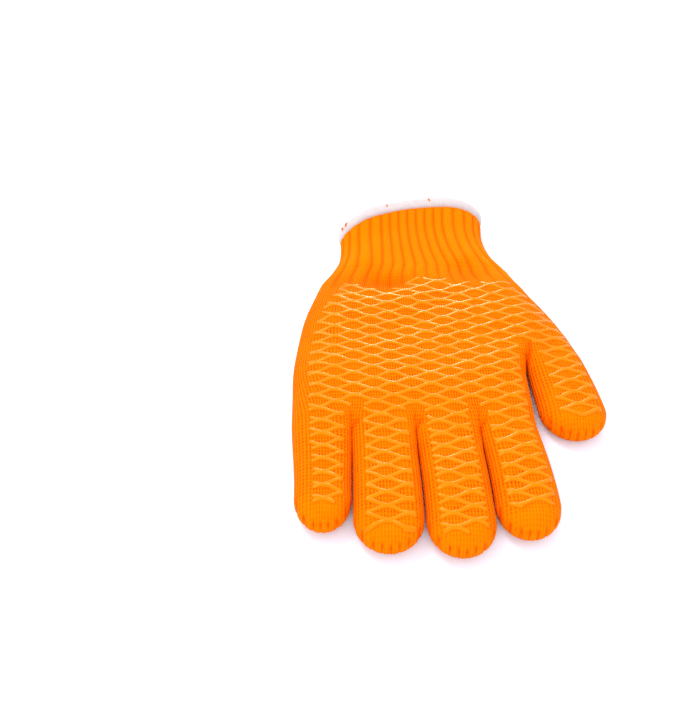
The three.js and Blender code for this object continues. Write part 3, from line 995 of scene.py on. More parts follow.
@dataclass
class KnitShell:
    """Palm, fingers and thumb, knitted in one, as hollow pieces that meet row for row.

    Lengths are millimetres. A pair such as dent_shade_rise holds where a change starts and its run.
    """

    plan: GlovePlan
    gauge: Gauge
    points_per_wale: int = 4
    row_step: float = 1.55
    inner_step: float = 4.0
    wale_stand: float = 0.12
    wale_shape: float = 0.8
    wale_in_ribs: float = 0.6
    wale_at_tip: float = 0.9
    rib_fade: float = 24.0
    tip_run: float = 9.0
    tip_tight: float = 0.65
    tip_arc: float = 1.35
    pucker: float = 0.62
    pucker_wales: float = 2.6
    pucker_inside: float = 0.55
    pucker_wide: float = 0.6
    pucker_wander: Wander = Wander(0.3, 9.0, 21)
    pucker_run: float = 4.0
    finger_blend: float = 9.0
    heel_blend: float = 22.0
    crease_shade: float = 0.8
    dent_shade_rise: tuple[float, float] = (60.0, 20.0)

    def hand_columns(self, place: int, first: int, share: Array, y: Array) -> Array:
        """Places across, in the hand, of the wales that run on into one finger or the thumb.

        At the crotch they are spread over the finger alone, further up over the hand or the thumb's
        base, and at the heel over the whole width, each passing smoothly into the next.

        Args:
            place: Number of the finger or thumb, from 0 for the little finger.
            first: Number of its first wale.
            share: Shares of its own wales.
            y: Places along, as a column.

        Returns:
            The places across, shape (rows, columns).
        """
        plan = self.plan
        tube = plan.tubes[place]
        wale = first + share * tube.wales
        left, right, split = plan.left_edge(y), plan.right_edge(y), plan.split(y)
        left_round, right_round, side = plan.left_round(y), plan.right_round(y), plan.side_round
        whole = spread_across(wale / plan.wales, left, right, left_round, right_round)
        if tube is plan.thumb:
            own = spread_across(share, split, right, side, right_round)
        else:
            slits = [left, *[np.full_like(y, slit) for slit in plan.slits], split]
            start_round = left_round if place == 0 else side
            finger = spread_across(share, slits[place], slits[place + 1], start_round, side)
            hand = wale / (plan.wales - plan.thumb.wales)
            palm = spread_across(hand, left, split, left_round, side)
            own = finger + (palm - finger) * grow(y, 0.0, self.finger_blend)
        return own + (whole - own) * grow(y, plan.thumb_start, self.heel_blend)

    def root(self, tube: Tube) -> float:
        """Place along where a tube's own piece starts."""
        return tube.start - (0.0 if tube is self.plan.thumb else self.plan.root_length)

    def hand_rows(self, tube: Tube, step: float) -> Array:
        """Places along of the rows in the hand, from the cuff to where a tube is a piece.

        Args:
            tube: The finger or thumb that the rows lead to.
            step: Distance between rows, nearly.

        Returns:
            The places, falling, with one on each crotch that is passed.
        """
        ends = [self.plan.palm_end, self.plan.thumb_start]
        if tube is not self.plan.thumb:
            ends += [0.0, self.root(tube)]
        runs = [
            np.linspace(high, low, max(2, int(round((high - low) / step)) + 1))
            for high, low in zip(ends, ends[1:])
        ]
        return np.concatenate([runs[0], *[run[1:] for run in runs[1:]]])

    def tube_grid(self, tube: Tube, share: Array, step: float) -> tuple[Array, Array]:
        """Places of a tube's grid: straight rows, then arcs round the tip that end on its rim.

        Args:
            tube: The finger or thumb.
            share: Shares of its wales.
            step: Distance between rows, nearly.

        Returns:
            The places across and along, shape (rows, columns).
        """
        start = self.root(tube)
        count = max(2, int(round((start - tube.round_start) / step)))
        turns = max(4, int(round(tube.tip_round * self.tip_arc / step)))
        rows = np.linspace(start, tube.round_start, count + 1)
        angles = np.linspace(0.0, QUARTER_TURN, turns + 1)[1:]
        y = np.repeat(rows[:, None], len(share), axis=1)
        x = tube.columns(share[None, :], y)
        left, right = tube.edges(tube.round_start)
        across = (x[-1] - (left + right) / 2) * 2 / (right - left)
        reach = tube.tip_round * np.sqrt(np.maximum(0.0, 1.0 - across**2))
        tip_y = tube.round_start - np.sin(angles)[:, None] * reach
        tip_left, tip_right = tube.edges(tip_y)
        tip_x = (tip_left + tip_right) / 2 + across * (tip_right - tip_left) / 2
        return np.concatenate([x, tip_x]), np.concatenate([y, tip_y])

    def puckers(self, x: Array, y: Array, wale: Array, tube: Tube) -> Array:
        """Gathers of the closed tip: a row of spots, bells inside the rim and round the wales.

        Args:
            x: Places across.
            y: Places along.
            wale: Wale of each place.
            tube: The finger or thumb.

        Returns:
            The depth from 0 to 1.
        """
        inside = tube.inside(x, np.minimum(y, tube.start))
        middle = self.pucker_inside + self.pucker_wander.at(x, y)
        spots = np.maximum(0.0, np.cos(TURN * wale / self.pucker_wales)) ** 2
        run = ease((tube.round_start - y) / self.pucker_run)
        return bell((inside - middle) / self.pucker_wide) * spots * run

    def ribbed(self, y: Array) -> Array:
        """How far the knit has passed into the cuff's ribs, from 0 to 1."""
        return grow(y, self.plan.palm_length - self.rib_fade, self.rib_fade)

    def at_tip(self, y: Array, tube: Tube) -> Array:
        """How far the knit has passed into the tip's, from 0 to 1."""
        return ease((tube.round_start - y) / self.tip_run)

    def stand(self, x: Array, y: Array, wale: Array, tube: Tube) -> Array:
        """How far the knit stands out: round wales, the cuff's ribs running out, a puckered tip.

        A wale is the sine of its phase, so it is flat in the grooves, where the grids are welded.

        Args:
            x: Places across.
            y: Places along.
            wale: Wale of each place.
            tube: The finger or thumb that the wales run to.

        Returns:
            The distance in each place.
        """
        ridge = ridges(wale)
        ribbed = self.ribbed(y)
        rib = self.gauge.rib(self.gauge.ribs * wale / self.plan.wales)
        gather = self.pucker * self.puckers(x, y, wale, tube) * ridge
        calm = (1.0 - self.wale_in_ribs * ribbed) * (1.0 - self.wale_at_tip * self.at_tip(y, tube))
        own = self.wale_stand * ridge**self.wale_shape * calm
        return own + self.gauge.rib_stand * rib * ribbed - gather

    def marked(self, x: Array, y: Array, wale: Array, tube: Tube) -> Array:
        """How deep the knit lies in a pucker, a crease, a dent or a groove, and how tight it is.

        The depth is painted into the knit's colour as shade.

        Args:
            x: Places across.
            y: Places along.
            wale: Wale of each place.
            tube: The finger or thumb that the wales run to.

        Returns:
            The two marks from 0 to 1, along the last axis.
        """
        # The first mark is painted shade, darkening the knit in creases, dents, rib grooves and
        # puckers.
        fold_and_shade = self.crease_shade * self.plan.crease(x, y)
        dented = self.gauge.dent_shade * self.plan.dent(x, y)
        fold_and_shade = fold_and_shade + dented * grow(y, *self.dent_shade_rise)
        fold_and_shade = fold_and_shade + self.gauge.groove(self.gauge.ribs * wale / self.plan.wales) * self.ribbed(y)
        fold_and_shade = np.clip(np.maximum(self.puckers(x, y, wale, tube), fold_and_shade), 0.0, 1.0)
        tight = np.maximum(self.ribbed(y), self.tip_tight * self.at_tip(y, tube))
        return np.stack([fold_and_shade, tight], axis=-1)

    def skin(self, per_wale: int, step: float) -> tuple[Skin, dict]:
        """The whole skin as a set of grids, and the point numbers of its open rows.

        Args:
            per_wale: Points per wale.
            step: Distance between rows.

        Returns:
            The skin, and for each end, label and side the numbers of its row at the cuff or root.
        """
        skin, rims, first = Skin(), {}, 0
        plan = self.plan
        for label, tube in enumerate(plan.tubes, start=1):
            share = np.linspace(0.0, 1.0, tube.wales * per_wale + 1)
            wale = first + share * tube.wales
            rows = self.hand_rows(tube, step)
            hand_y = np.repeat(rows[:, None], len(share), axis=1)
            past = hand_y < tube.start
            own_x = tube.columns(share[None, :], np.minimum(hand_y, tube.start))
            palm_x = self.hand_columns(label - 1, first, share[None, :], hand_y)
            hand_x = np.where(past, own_x, palm_x)
            hand = plan.skins(hand_x, np.maximum(hand_y, tube.start))
            own = plan.skins(hand_x, hand_y, tube)
            hand = [np.where(past, finger, palm) for finger, palm in zip(own, hand)]
            tube_x, tube_y = self.tube_grid(tube, share, step)
            grids = (
                (hand_x, hand_y, hand, 0, "cuff"),
                (tube_x, tube_y, plan.skins(tube_x, tube_y, tube), label, "root"),
            )
            for pick, side in enumerate(Side):
                across = wale if side is Side.UPPER else 2 * plan.wales - wale
                for x, y, heights, piece, end in grids:
                    wales = np.broadcast_to(wale, x.shape)
                    course = y / self.gauge.course
                    uv = np.stack([np.broadcast_to(across, x.shape), course], axis=-1)
                    numbers = skin.add(
                        np.stack([x, y, heights[pick]], axis=-1), self.stand(x, y, wales, tube),
                        self.marked(x, y, wales, tube), uv, piece, side,
                    )
                    rims[(end, label, side)] = numbers[0]
            first += tube.wales
        return skin, rims

    def build(self, material: bpy.types.Material) -> None:
        """Makes the palm, the fingers and the thumb, each a closed wall: two skins and the rims.

        Args:
            material: Material of the knit.
        """
        outer_skin, outer_rims = self.skin(self.points_per_wale, self.row_step)
        inner_skin, inner_rims = self.skin(1, self.inner_step)
        outer, inner = outer_skin.weld(), inner_skin.weld()
        stands = outer.stands * self.gauge.flattened(outer.normals)
        outside = outer.points + outer.normals * stands[:, None]
        inside = inner.points - inner.normals * self.gauge.wall
        points = np.concatenate([outside, inside])
        normals = np.concatenate([face_normals(outside, outer.quads), -inner.normals])
        marks = np.concatenate([outer.marks, np.zeros((len(inside), len(MARKS)))])
        shift = len(outside)
        for label, name in enumerate(self.plan.names):
            draft = MeshDraft(points, normals, marks)
            own = outer.labels == label
            draft.add(outer.quads[own], outer.uvs[own])
            own = inner.labels == label
            draft.add(inner.quads[own][:, ::-1] + shift, inner.uvs[own][:, ::-1])
            for (end, piece, side), row in outer_rims.items():
                if label not in ((0,) if end == "cuff" else (0, piece)):
                    continue
                coarse = inner.turned[inner_rims[(end, piece, side)]] + shift
                forward = (end == "cuff" or label != 0) == (side is Side.UPPER)
                draft.add(*self.rim(outer.turned[row], coarse, forward))
            hang(draft.build(f"knit_{name}", self.plan.origin), material, "knit", name)

    def rim(self, fine: Array, coarse: Array, forward: bool) -> tuple[Array, Array]:
        """Faces between an outer row and the inner row under it, one for each wale.

        Args:
            fine: Point numbers of the outer row.
            coarse: Point numbers of the inner row.
            forward: Whether the faces run the way of the rows.

        Returns:
            The faces and a texture place for each of their corners.
        """
        starts = np.arange(len(coarse) - 1)[:, None] * self.points_per_wale
        outer = fine[starts + np.arange(self.points_per_wale + 1)[None, :]]
        faces = np.concatenate([outer, np.stack([coarse[1:], coarse[:-1]], axis=1)], axis=1)
        faces = faces if forward else faces[:, ::-1]
        return faces, np.zeros(faces.shape + (2,))


@dataclass
class RibbedCuff:
    """The elastic ribbed cuff: one wall with ribs outside and a plain inside. In millimetres."""

    plan: GlovePlan
    gauge: Gauge
    points_per_rib: int = 12
    rows: int = 32
    rib_split: float = 0.1
    mouth_start: float = 0.84
    mouth_flat: float = 0.8
    smooth_at_mouth: float = 0.6

    def section(self, share: Array) -> tuple[Array, Array, Array]:
        """Left edge, right edge and height of the cuff.

        Args:
            share: Shares along, from the palm to the mouth.

        Returns:
            The three values in each place, each a mean of the palm's end, the wrist and the mouth.
        """
        plan = self.plan
        palm = through(CUFF_ROWS, "palm", share)
        mouth = through(CUFF_ROWS, "mouth", share)
        wrist = 1.0 - palm - mouth
        end = np.full_like(share, plan.palm_length)
        left, right = plan.left_edge(end), plan.right_edge(end)
        half = (palm * (right - left) + mouth * plan.mouth_width + wrist * plan.wrist_width) / 2
        centre = (left + right) / 2 + through(CUFF_ROWS, "shift", share) * plan.wrist_width
        palm_height = plan.palm_height * PALM_ROWS[-1].height
        height = palm * palm_height + mouth * plan.mouth_height + wrist * plan.wrist_height
        return centre - half, centre + half, height

    def place(self, wale: Array, share: Array, side: Side) -> Array:
        """Points of the cuff's skin, a flat tube of the section's size with round sides.

        Args:
            wale: Shares across, from the left edge to the right.
            share: Shares along, from the palm to the mouth, which is skewed and bowed.
            side: Which skin.

        Returns:
            The points in the plan.
        """
        plan = self.plan
        left, right, height = self.section(share)
        x = spread_across(wale, left, right, plan.palm_round, plan.palm_round)
        across = (2 * x - left - right) / (right - left)
        reach = plan.cuff_length + plan.mouth_skew / 2 * across + plan.mouth_bow * (1.0 - across**2)
        y = plan.palm_end + share * reach
        belly = plan.belly_share * height
        scale = 1.0 if side is Side.UPPER else plan.base_round / plan.side_round
        radius = scale * plan.palm_round
        fill = dome((x - left) / radius) * dome((right - x) / radius)
        if side is Side.UPPER:
            hollow = plan.hollow(x, y) * (1.0 - self.smooth_at_mouth * ease(share))
            z = belly + (height - belly - hollow) * fill
        else:
            z = belly - (belly - plan.lift) * fill
        return np.stack([x, y, z], axis=-1)

    def loop(self, share: Array) -> tuple[Array, Array]:
        """Rings round the cuff, over the top from the left edge to the right and back underneath.

        Args:
            share: Shares of the cuff's length.

        Returns:
            The points, shape (rings, points, 3), and the count of ribs passed at each point.
        """
        columns = self.gauge.ribs * self.points_per_rib
        wale = np.linspace(0.0, 1.0, columns + 1)
        top = self.place(wale[None, :-1], share[:, None], Side.UPPER)
        under = self.place(wale[None, :0:-1], share[:, None], Side.UNDER)
        phase = np.concatenate([wale[:-1], 2.0 - wale[:0:-1]]) * self.gauge.ribs
        rings = np.concatenate([top, under], axis=1)
        return rings, np.broadcast_to(phase, rings.shape[:2])

    def build(self, material: bpy.types.Material) -> None:
        """Makes the cuff as one closed wall of rings: out along the ribs and back inside.

        The ribs are a sine of the way round with a fainter one at twice the count, and they run out
        before the mouth.

        Args:
            material: Material of the ribbed knit.
        """
        gauge, plan = self.gauge, self.plan
        share = np.linspace(0.0, 1.0, self.rows + 1)
        rings, phase = self.loop(share)
        normals = ring_normals(rings)
        left = 1.0 - self.mouth_flat * ease((share - self.mouth_start) / (1.0 - self.mouth_start))
        relief = gauge.rib_stand * gauge.rib(phase) * left[:, None]
        relief = relief + self.rib_split * gauge.rib(2 * phase)
        outer = rings + normals * (relief * gauge.flattened(normals))[..., None]
        body = np.concatenate([outer, (rings - normals * gauge.wall)[::-1]])
        facing = np.concatenate([ring_normals(outer), -normals[::-1]])
        course = np.concatenate([share, share[::-1]])[:, None] * plan.cuff_length / gauge.course
        phase = np.concatenate([phase, phase[::-1]])
        wale = phase * plan.wales / gauge.ribs
        uv = np.stack([wale, np.broadcast_to(course, wale.shape)], axis=-1)
        # Painted shade in the dents and between the ribs, as the first mark.
        fold_and_shade = gauge.dent_shade * plan.dent(body[..., 0], body[..., 1]) + gauge.groove(phase)
        marks = np.stack([np.clip(fold_and_shade, 0.0, 1.0), np.ones_like(fold_and_shade)], axis=-1)
        piece = wrapped("knit_ribbed_cuff", body, uv, plan.origin, facing, marks)
        hang(piece, material, "rib_knit", "ribbed_cuff")


def ring_normals(rings: Array) -> Array:
    """Outward normals of stacked rings, from the cross product of the ways round and along."""
    around = np.roll(rings, -1, axis=1) - np.roll(rings, 1, axis=1)
    return unit(np.cross(around, np.gradient(rings, axis=0)))


def wrapped(
    name: str,
    body: Array,
    uv: Array,
    origin: tuple[float, float],
    facing: Array | None = None,
    marks: Array | None = None,
) -> bpy.types.Object:
    """Closed mesh of a grid of points that closes on itself both ways.

    Args:
        name: Name of the piece.
        body: Points, shape (rows, columns, 3).
        uv: Texture place of each point.
        origin: Middle of the plan in the part's frame.
        facing: Normals of the points, or None for smooth ones.
        marks: Painted shade of folds, and tightness of the points, or None.

    Returns:
        The piece.
    """
    rows, columns = body.shape[:2]
    numbers = np.arange(rows * columns).reshape(rows, columns)
    next_row = np.roll(numbers, -1, axis=0)
    corners = [numbers, np.roll(numbers, -1, axis=1), np.roll(next_row, -1, axis=1), next_row]
    points, faces = body.reshape(-1, 3), np.stack(corners, axis=-1).reshape(-1, 4)
    if signed_volume(points, faces) < 0:
        faces = faces[:, ::-1]
    facing = None if facing is None else facing.reshape(-1, 3)
    draft = MeshDraft(points, facing, None if marks is None else marks.reshape(-1, len(MARKS)))
    draft.add(faces, uv.reshape(-1, 2)[faces])
    return draft.build(name, origin)


def signed_volume(points: Array, quads: Array) -> float:
    """Volume that quads enclose, the sum of the pyramids from the middle of the plan.

    Args:
        points: Points of a closed mesh.
        quads: Its faces.

    Returns:
        The volume, positive where the quads face out.
    """
    corner = points[quads]
    first = np.einsum("ij,ij->i", corner[:, 0], np.cross(corner[:, 1], corner[:, 2]))
    second = np.einsum("ij,ij->i", corner[:, 0], np.cross(corner[:, 2], corner[:, 3]))
    return float(first.sum() + second.sum()) / 6.0


@dataclass
class Strands:
    """Many round or half-round strands swept along paths and joined in one mesh."""

    cells_per_mm: float = 5000.0
    points: list[Array] = field(default_factory=list)
    quads: list[Array] = field(default_factory=list)
    uvs: list[Array] = field(default_factory=list)
    count: int = 0

    def sweep(self, centres: Array, sides: Array, ups: Array, profile: Array) -> None:
        """Adds a strand, closed at both ends in a point.

        Args:
            centres: Middle of each step, shape (steps, 3).
            sides: Sideways direction times the half width there.
            ups: Upward direction times the height there.
            profile: Section points round the strand as shares of side and up, shape (points, 2).
        """
        sectors, rows = len(profile), len(centres) + 2
        ring = centres[:, None] + sides[:, None] * profile[None, :, :1]
        ring = ring + ups[:, None] * profile[None, :, 1:]
        ends = np.repeat(ring[[0, -1]].mean(axis=1, keepdims=True), sectors, axis=1)
        ring = np.concatenate([ends[:1], ring, ends[1:]])
        numbers = self.count + np.arange(rows * sectors).reshape(rows, sectors)
        turned = np.roll(numbers, -1, axis=1)
        quads = np.stack([numbers[:-1], turned[:-1], turned[1:], numbers[1:]], axis=-1)
        row, sector = np.meshgrid(np.arange(rows), np.arange(sectors) / sectors, indexing="ij")
        self.points.append(ring.reshape(-1, 3))
        self.quads.append(quads.reshape(-1, 4))
        self.uvs.append(np.stack([sector, row], axis=-1).reshape(-1, 2))
        self.count += rows * sectors

    def build(self, name: str, origin: tuple[float, float]) -> bpy.types.Object:
        """Makes the joined mesh, with points in one place made one so that the ends close.

        Args:
            name: Name of the piece.
            origin: Middle of the plan in the part's frame.

        Returns:
            The piece.
        """
        points, quads = np.concatenate(self.points), np.concatenate(self.quads)
        first, turned = meeting(points, self.cells_per_mm)
        draft = MeshDraft(points[first])
        draft.add(turned[quads], np.concatenate(self.uvs)[quads])
        return draft.build(name, origin)


def half_round(sectors: int) -> Array:
    """Section of a printed strand: a low round over the knit with its foot sunk into it.

    Args:
        sectors: Count of points.

    Returns:
        The points as shares of the half width and the height.
    """
    angle = np.linspace(0.0, math.pi, sectors - 2)
    foot = [[-FOOT_SINK, -FOOT_SINK], [FOOT_SINK, -FOOT_SINK]]
    return np.concatenate([np.stack([np.cos(angle), np.sin(angle)], axis=1), foot])


def full_round(sectors: int) -> Array:
    """Section of a yarn, a circle."""
    angle = np.arange(sectors) / sectors * TURN
    return np.stack([np.cos(angle), np.sin(angle)], axis=1)


@dataclass
class GripNet:
    """The printed rubber net: two sets of slanting strands that cross into flat, eye-shaped gaps.

    It is a lattice over the cloth, v = +-slope times u with rows a full diamond apart, that follows
    the fingers and the thumb as they lean, and stops at plain margins. Lengths are millimetres. A
    pair such as finger_fade holds where a smooth change starts and the run that it takes.
    """

    plan: GlovePlan
    half_across: float = 8.77
    half_along: float = 3.35
    first_column: float = -0.2
    first_row: float = 2.2
    columns: tuple[float, float] = (-62.0, 92.0)
    rows: tuple[int, int] = (-20, 30)
    flatten: float = 0.4
    width: float = 2.0
    rise: float = 0.48
    proud: float = 0.1
    sectors: int = 9
    pool: float = 0.15
    pool_reach: float = 1.4
    step: float = 0.66
    shortest: float = 3.8
    longest_jump: float = 2.5
    slope_reach: float = 0.6
    finger_reach: float = 8.5
    finger_fade: tuple[float, float] = (-4.0, 20.0)
    corner_lift: float = 4.0
    corner_along: tuple[float, float] = (50.0, 35.0)
    corner_across: tuple[float, float] = (18.0, 22.0)
    tilt_share: float = 0.7
    tilt_rate: float = 4.0
    palm_left: float = 7.0
    palm_right: float = 3.6
    heel_margin: float = 5.0
    left_margin_rise: tuple[float, float] = (55.0, 35.0)
    right_margin_rise: tuple[float, float] = (68.0, 22.0)
    heel: float = 91.0
    heel_wave: float = 2.2
    heel_wave_run: float = 9.0
    heel_notch: float = 5.5
    heel_notch_middle: float = -10.0
    heel_notch_wide: float = 8.0
    heel_ragged: Wander = Wander(1.6, 7.0, 31)
    tip_bow: float = 0.012
    crotch_margin: float = 6.3
    thumb_margin: float = 3.0
    thumb_crotch_margin: float = 6.5
    thumb_crotch_free: float = 0.8
    drift_across: Wander = Wander(1.0, 26.0, 11)
    drift_along: Wander = Wander(1.0, 18.0, 12)
    drift: tuple[float, float] = (0.3, 1.2)
    drift_rise: tuple[float, float] = (58.0, 26.0)
    tremor: float = 0.2
    tremor_length: float = 4.5
    tremor_seed: int = 11
    thin_end: float = 0.3
    taper_steps: float = 2.2
    uneven_width: Wander = Wander(0.16, 6.0, 14)
    uneven_rise: Wander = Wander(0.24, 8.0, 15)

    def lay(self, u: Array, v: Array) -> tuple[Array, Array, Array]:
        """Lays places of the lattice on the plan.

        Over a finger it is shifted, leans and bends with the centre line and tilts with its slope.

        Args:
            u: Places across the cloth.
            v: Places along the cloth.

        Returns:
            Places across and along the plan, and the number of the tube there, or 0 in the hand.
        """
        plan = self.plan
        shifts = np.repeat([NET_BANDS[tube.name].shift for tube in plan.fingers], 2)
        middles = np.repeat([tube.root_middle for tube in plan.fingers], 2) - shifts
        reaches = np.tile([-self.finger_reach, self.finger_reach], len(plan.fingers))
        x = u + np.interp(u, middles + reaches, shifts) * fade(v, *self.finger_fade)
        y = v + self.corner_lift * grow(v, *self.corner_along) * grow(-u, *self.corner_across)
        owner = np.zeros(u.shape, dtype=int)
        beside = u > plan.thumb.left - plan.finger_gap / 2
        edges = [-BEYOND, *plan.slits, BEYOND]
        for number, tube in enumerate(plan.tubes, start=1):
            if tube is plan.thumb:
                inside = beside & (v < tube.start)
            else:
                inside = ~beside & (v < 0.0) & (x > edges[number - 1]) & (x <= edges[number])
            share = np.clip((tube.start - v) / tube.length, 0.0, 1.0)
            slope = (tube.lean + 2.0 * tube.bend * share) * np.minimum(1.0, self.tilt_rate * share)
            tilt = self.tilt_share * slope * (x - tube.root_middle)
            x = np.where(inside, x + tube.bent(share), x)
            y = np.where(inside, v + tilt, y)
            owner = np.where(inside, number, owner)
        return x, y, owner

    def in_hand(self, x: Array, y: Array) -> Array:
        """Whether places of the hand lie inside the net's margins, with a ragged end at the heel.

        Args:
            x: Places across.
            y: Places along.

        Returns:
            True inside.
        """
        plan, margin = self.plan, self.heel_margin
        left = plan.left_edge(y) + self.palm_left + margin * grow(y, *self.left_margin_rise)
        thumb_side = plan.right_edge(y) - self.palm_right
        thumb_side = thumb_side - margin * grow(y, *self.right_margin_rise)
        right = np.where(y < plan.thumb_start, plan.split(y) - self.thumb_margin, thumb_side)
        notch = self.heel_notch * bell((x - self.heel_notch_middle) / self.heel_notch_wide)
        heel = self.heel + self.heel_wave * np.sin(x / self.heel_wave_run) - notch
        hand = (x > left) & (x < right) & (y < heel + self.heel_ragged.at(x, y))
        slits = [-BEYOND, *plan.slits, BEYOND]
        for tube, low, high in zip(plan.fingers, slits, slits[1:]):
            band = NET_BANDS[tube.name]
            own = (x > low) & (x <= high) & (y < self.crotch_margin)
            hand &= ~own | ((x > max(low, tube.left) + band.left) & (x < high - band.right))
        thumb = plan.thumb
        near = (y >= thumb.start) & (y < thumb.start + self.thumb_crotch_margin)
        free = thumb.left + NET_BANDS[thumb.name].left - self.thumb_crotch_free
        return hand & ~(near & (x > thumb.left - self.thumb_margin) & (x < free))

    def printed(self, x: Array, y: Array, owner: Array) -> Array:
        """Whether each place lies inside the net's margins.

        Args:
            x: Places across.
            y: Places along.
            owner: Number of the tube there, or 0 in the hand.

        Returns:
            True inside.
        """
        keep = (owner == 0) & self.in_hand(x, y)
        for number, tube in enumerate(self.plan.tubes, start=1):
            band = NET_BANDS[tube.name]
            low, high = tube.edges(y)
            bow = self.tip_bow * (x - (low + high) / 2) ** 2
            end = tube.start - tube.length + band.end + bow
            keep |= (owner == number) & (x > low + band.left) & (x < high - band.right) & (y > end)
        return keep

    def runs(self) -> list[tuple[int, Array]]:
        """Unbroken strands of the lattice as it was printed, wandering more towards the heel.

        Returns:
            For each strand the number of its piece, and its places and pooling, shape (steps, 3).
        """
        u = np.arange(*self.columns, self.step)
        phase = (u - self.first_column) / self.half_across
        bow = phase - self.flatten / TURN * np.sin(TURN * phase)
        pool = bell(((phase + 0.5) % 1.0 - 0.5) * self.half_across / self.pool_reach)
        found = []
        for sign in (1, -1):
            for row in range(*self.rows):
                v = self.first_row + self.half_along * (2 * row + sign * bow)
                drift = self.drift[0] + self.drift[1] * grow(v, *self.drift_rise)
                tremor = Wander(self.tremor, self.tremor_length, self.tremor_seed + sign)
                far_u = u + drift * self.drift_across.at(u, v)
                far_v = v + drift * self.drift_along.at(u, v) + tremor.at(u, v)
                x, y, owner = self.lay(far_u, far_v)
                keep = self.printed(x, y, owner)
                stride = np.hypot(np.diff(x, prepend=x[0]), np.diff(y, prepend=y[0]))
                jumps = np.flatnonzero(stride > self.longest_jump * self.step)
                marks = np.flatnonzero(np.diff(np.concatenate([[0], keep.astype(int), [0]])))
                for first, last in zip(marks[::2], marks[1::2]):
                    cuts = [first, *[cut for cut in jumps if first < cut < last], last]
                    for start, stop in zip(cuts, cuts[1:]):
                        if (stop - start) * self.step < self.shortest:
                            continue
                        piece = int(np.bincount(owner[start:stop]).argmax())
                        found.append((piece, np.stack([x, y, pool], axis=1)[start:stop]))
        return found

    def strand(self, strands: Strands, places: Array, ground: Array, side: Side) -> None:
        """Sweeps one strand over a face of the glove, thinning towards its two ends.

        Args:
            strands: Mesh in the making.
            places: Plan places and pooling, shape (steps, 3).
            ground: Height of the skin there and its two slopes, shape (steps, 3).
            side: Which face.
        """
        x, y, pool = places.T
        z, slope_x, slope_y = ground.T
        way = unit(np.gradient(places[:, :2], axis=0))
        sideways = np.stack([way[:, 1], -way[:, 0]], axis=1)
        normal = unit(np.stack([-slope_x, -slope_y, np.ones_like(x)], axis=1)) * side.value
        climb = sideways[:, 0] * slope_x + sideways[:, 1] * slope_y
        across = unit(np.column_stack([sideways, climb]))
        steps = np.arange(len(x))
        from_end = np.minimum(steps, steps[::-1])
        taper = np.sqrt(np.clip(self.thin_end + from_end / self.taper_steps, 0.0, 1.0))
        uneven = 1.0 + self.pool * pool + self.uneven_width.at(x, y)
        wide = self.width / 2 * taper * uneven
        tall = self.rise * taper * (1.0 + self.uneven_rise.at(x, y))
        centre = np.stack([x, y, z], axis=1) + normal * (self.proud if side is Side.UPPER else 0.0)
        profile = half_round(self.sectors) * np.array([side.value, 1.0])
        strands.sweep(centre, across * wide[:, None], normal * tall[:, None], profile)

    def build(self, material: bpy.types.Material) -> None:
        """Makes the net of each piece on both faces of the glove.

        Args:
            material: Material of the printed rubber.
        """
        plan, reach = self.plan, self.slope_reach
        found = self.runs()
        x, y, _ = np.concatenate([places for _, places in found]).T
        middle = plan.anywhere(x, y)
        across = np.subtract(plan.anywhere(x + reach, y), plan.anywhere(x - reach, y)) / (2 * reach)
        along = np.subtract(plan.anywhere(x, y + reach), plan.anywhere(x, y - reach)) / (2 * reach)
        ends = np.cumsum([len(places) for _, places in found])
        for number, name in enumerate(plan.names):
            strands = Strands()
            for pick, side in enumerate(Side):
                ground = np.stack([middle[pick], across[pick], along[pick]], axis=1)
                for (piece, places), end in zip(found, ends):
                    if piece == number:
                        self.strand(strands, places, ground[end - len(places):end], side)
            hang(strands.build(f"rubber_net_{name}", plan.origin), material, "grip", f"grip_{name}")


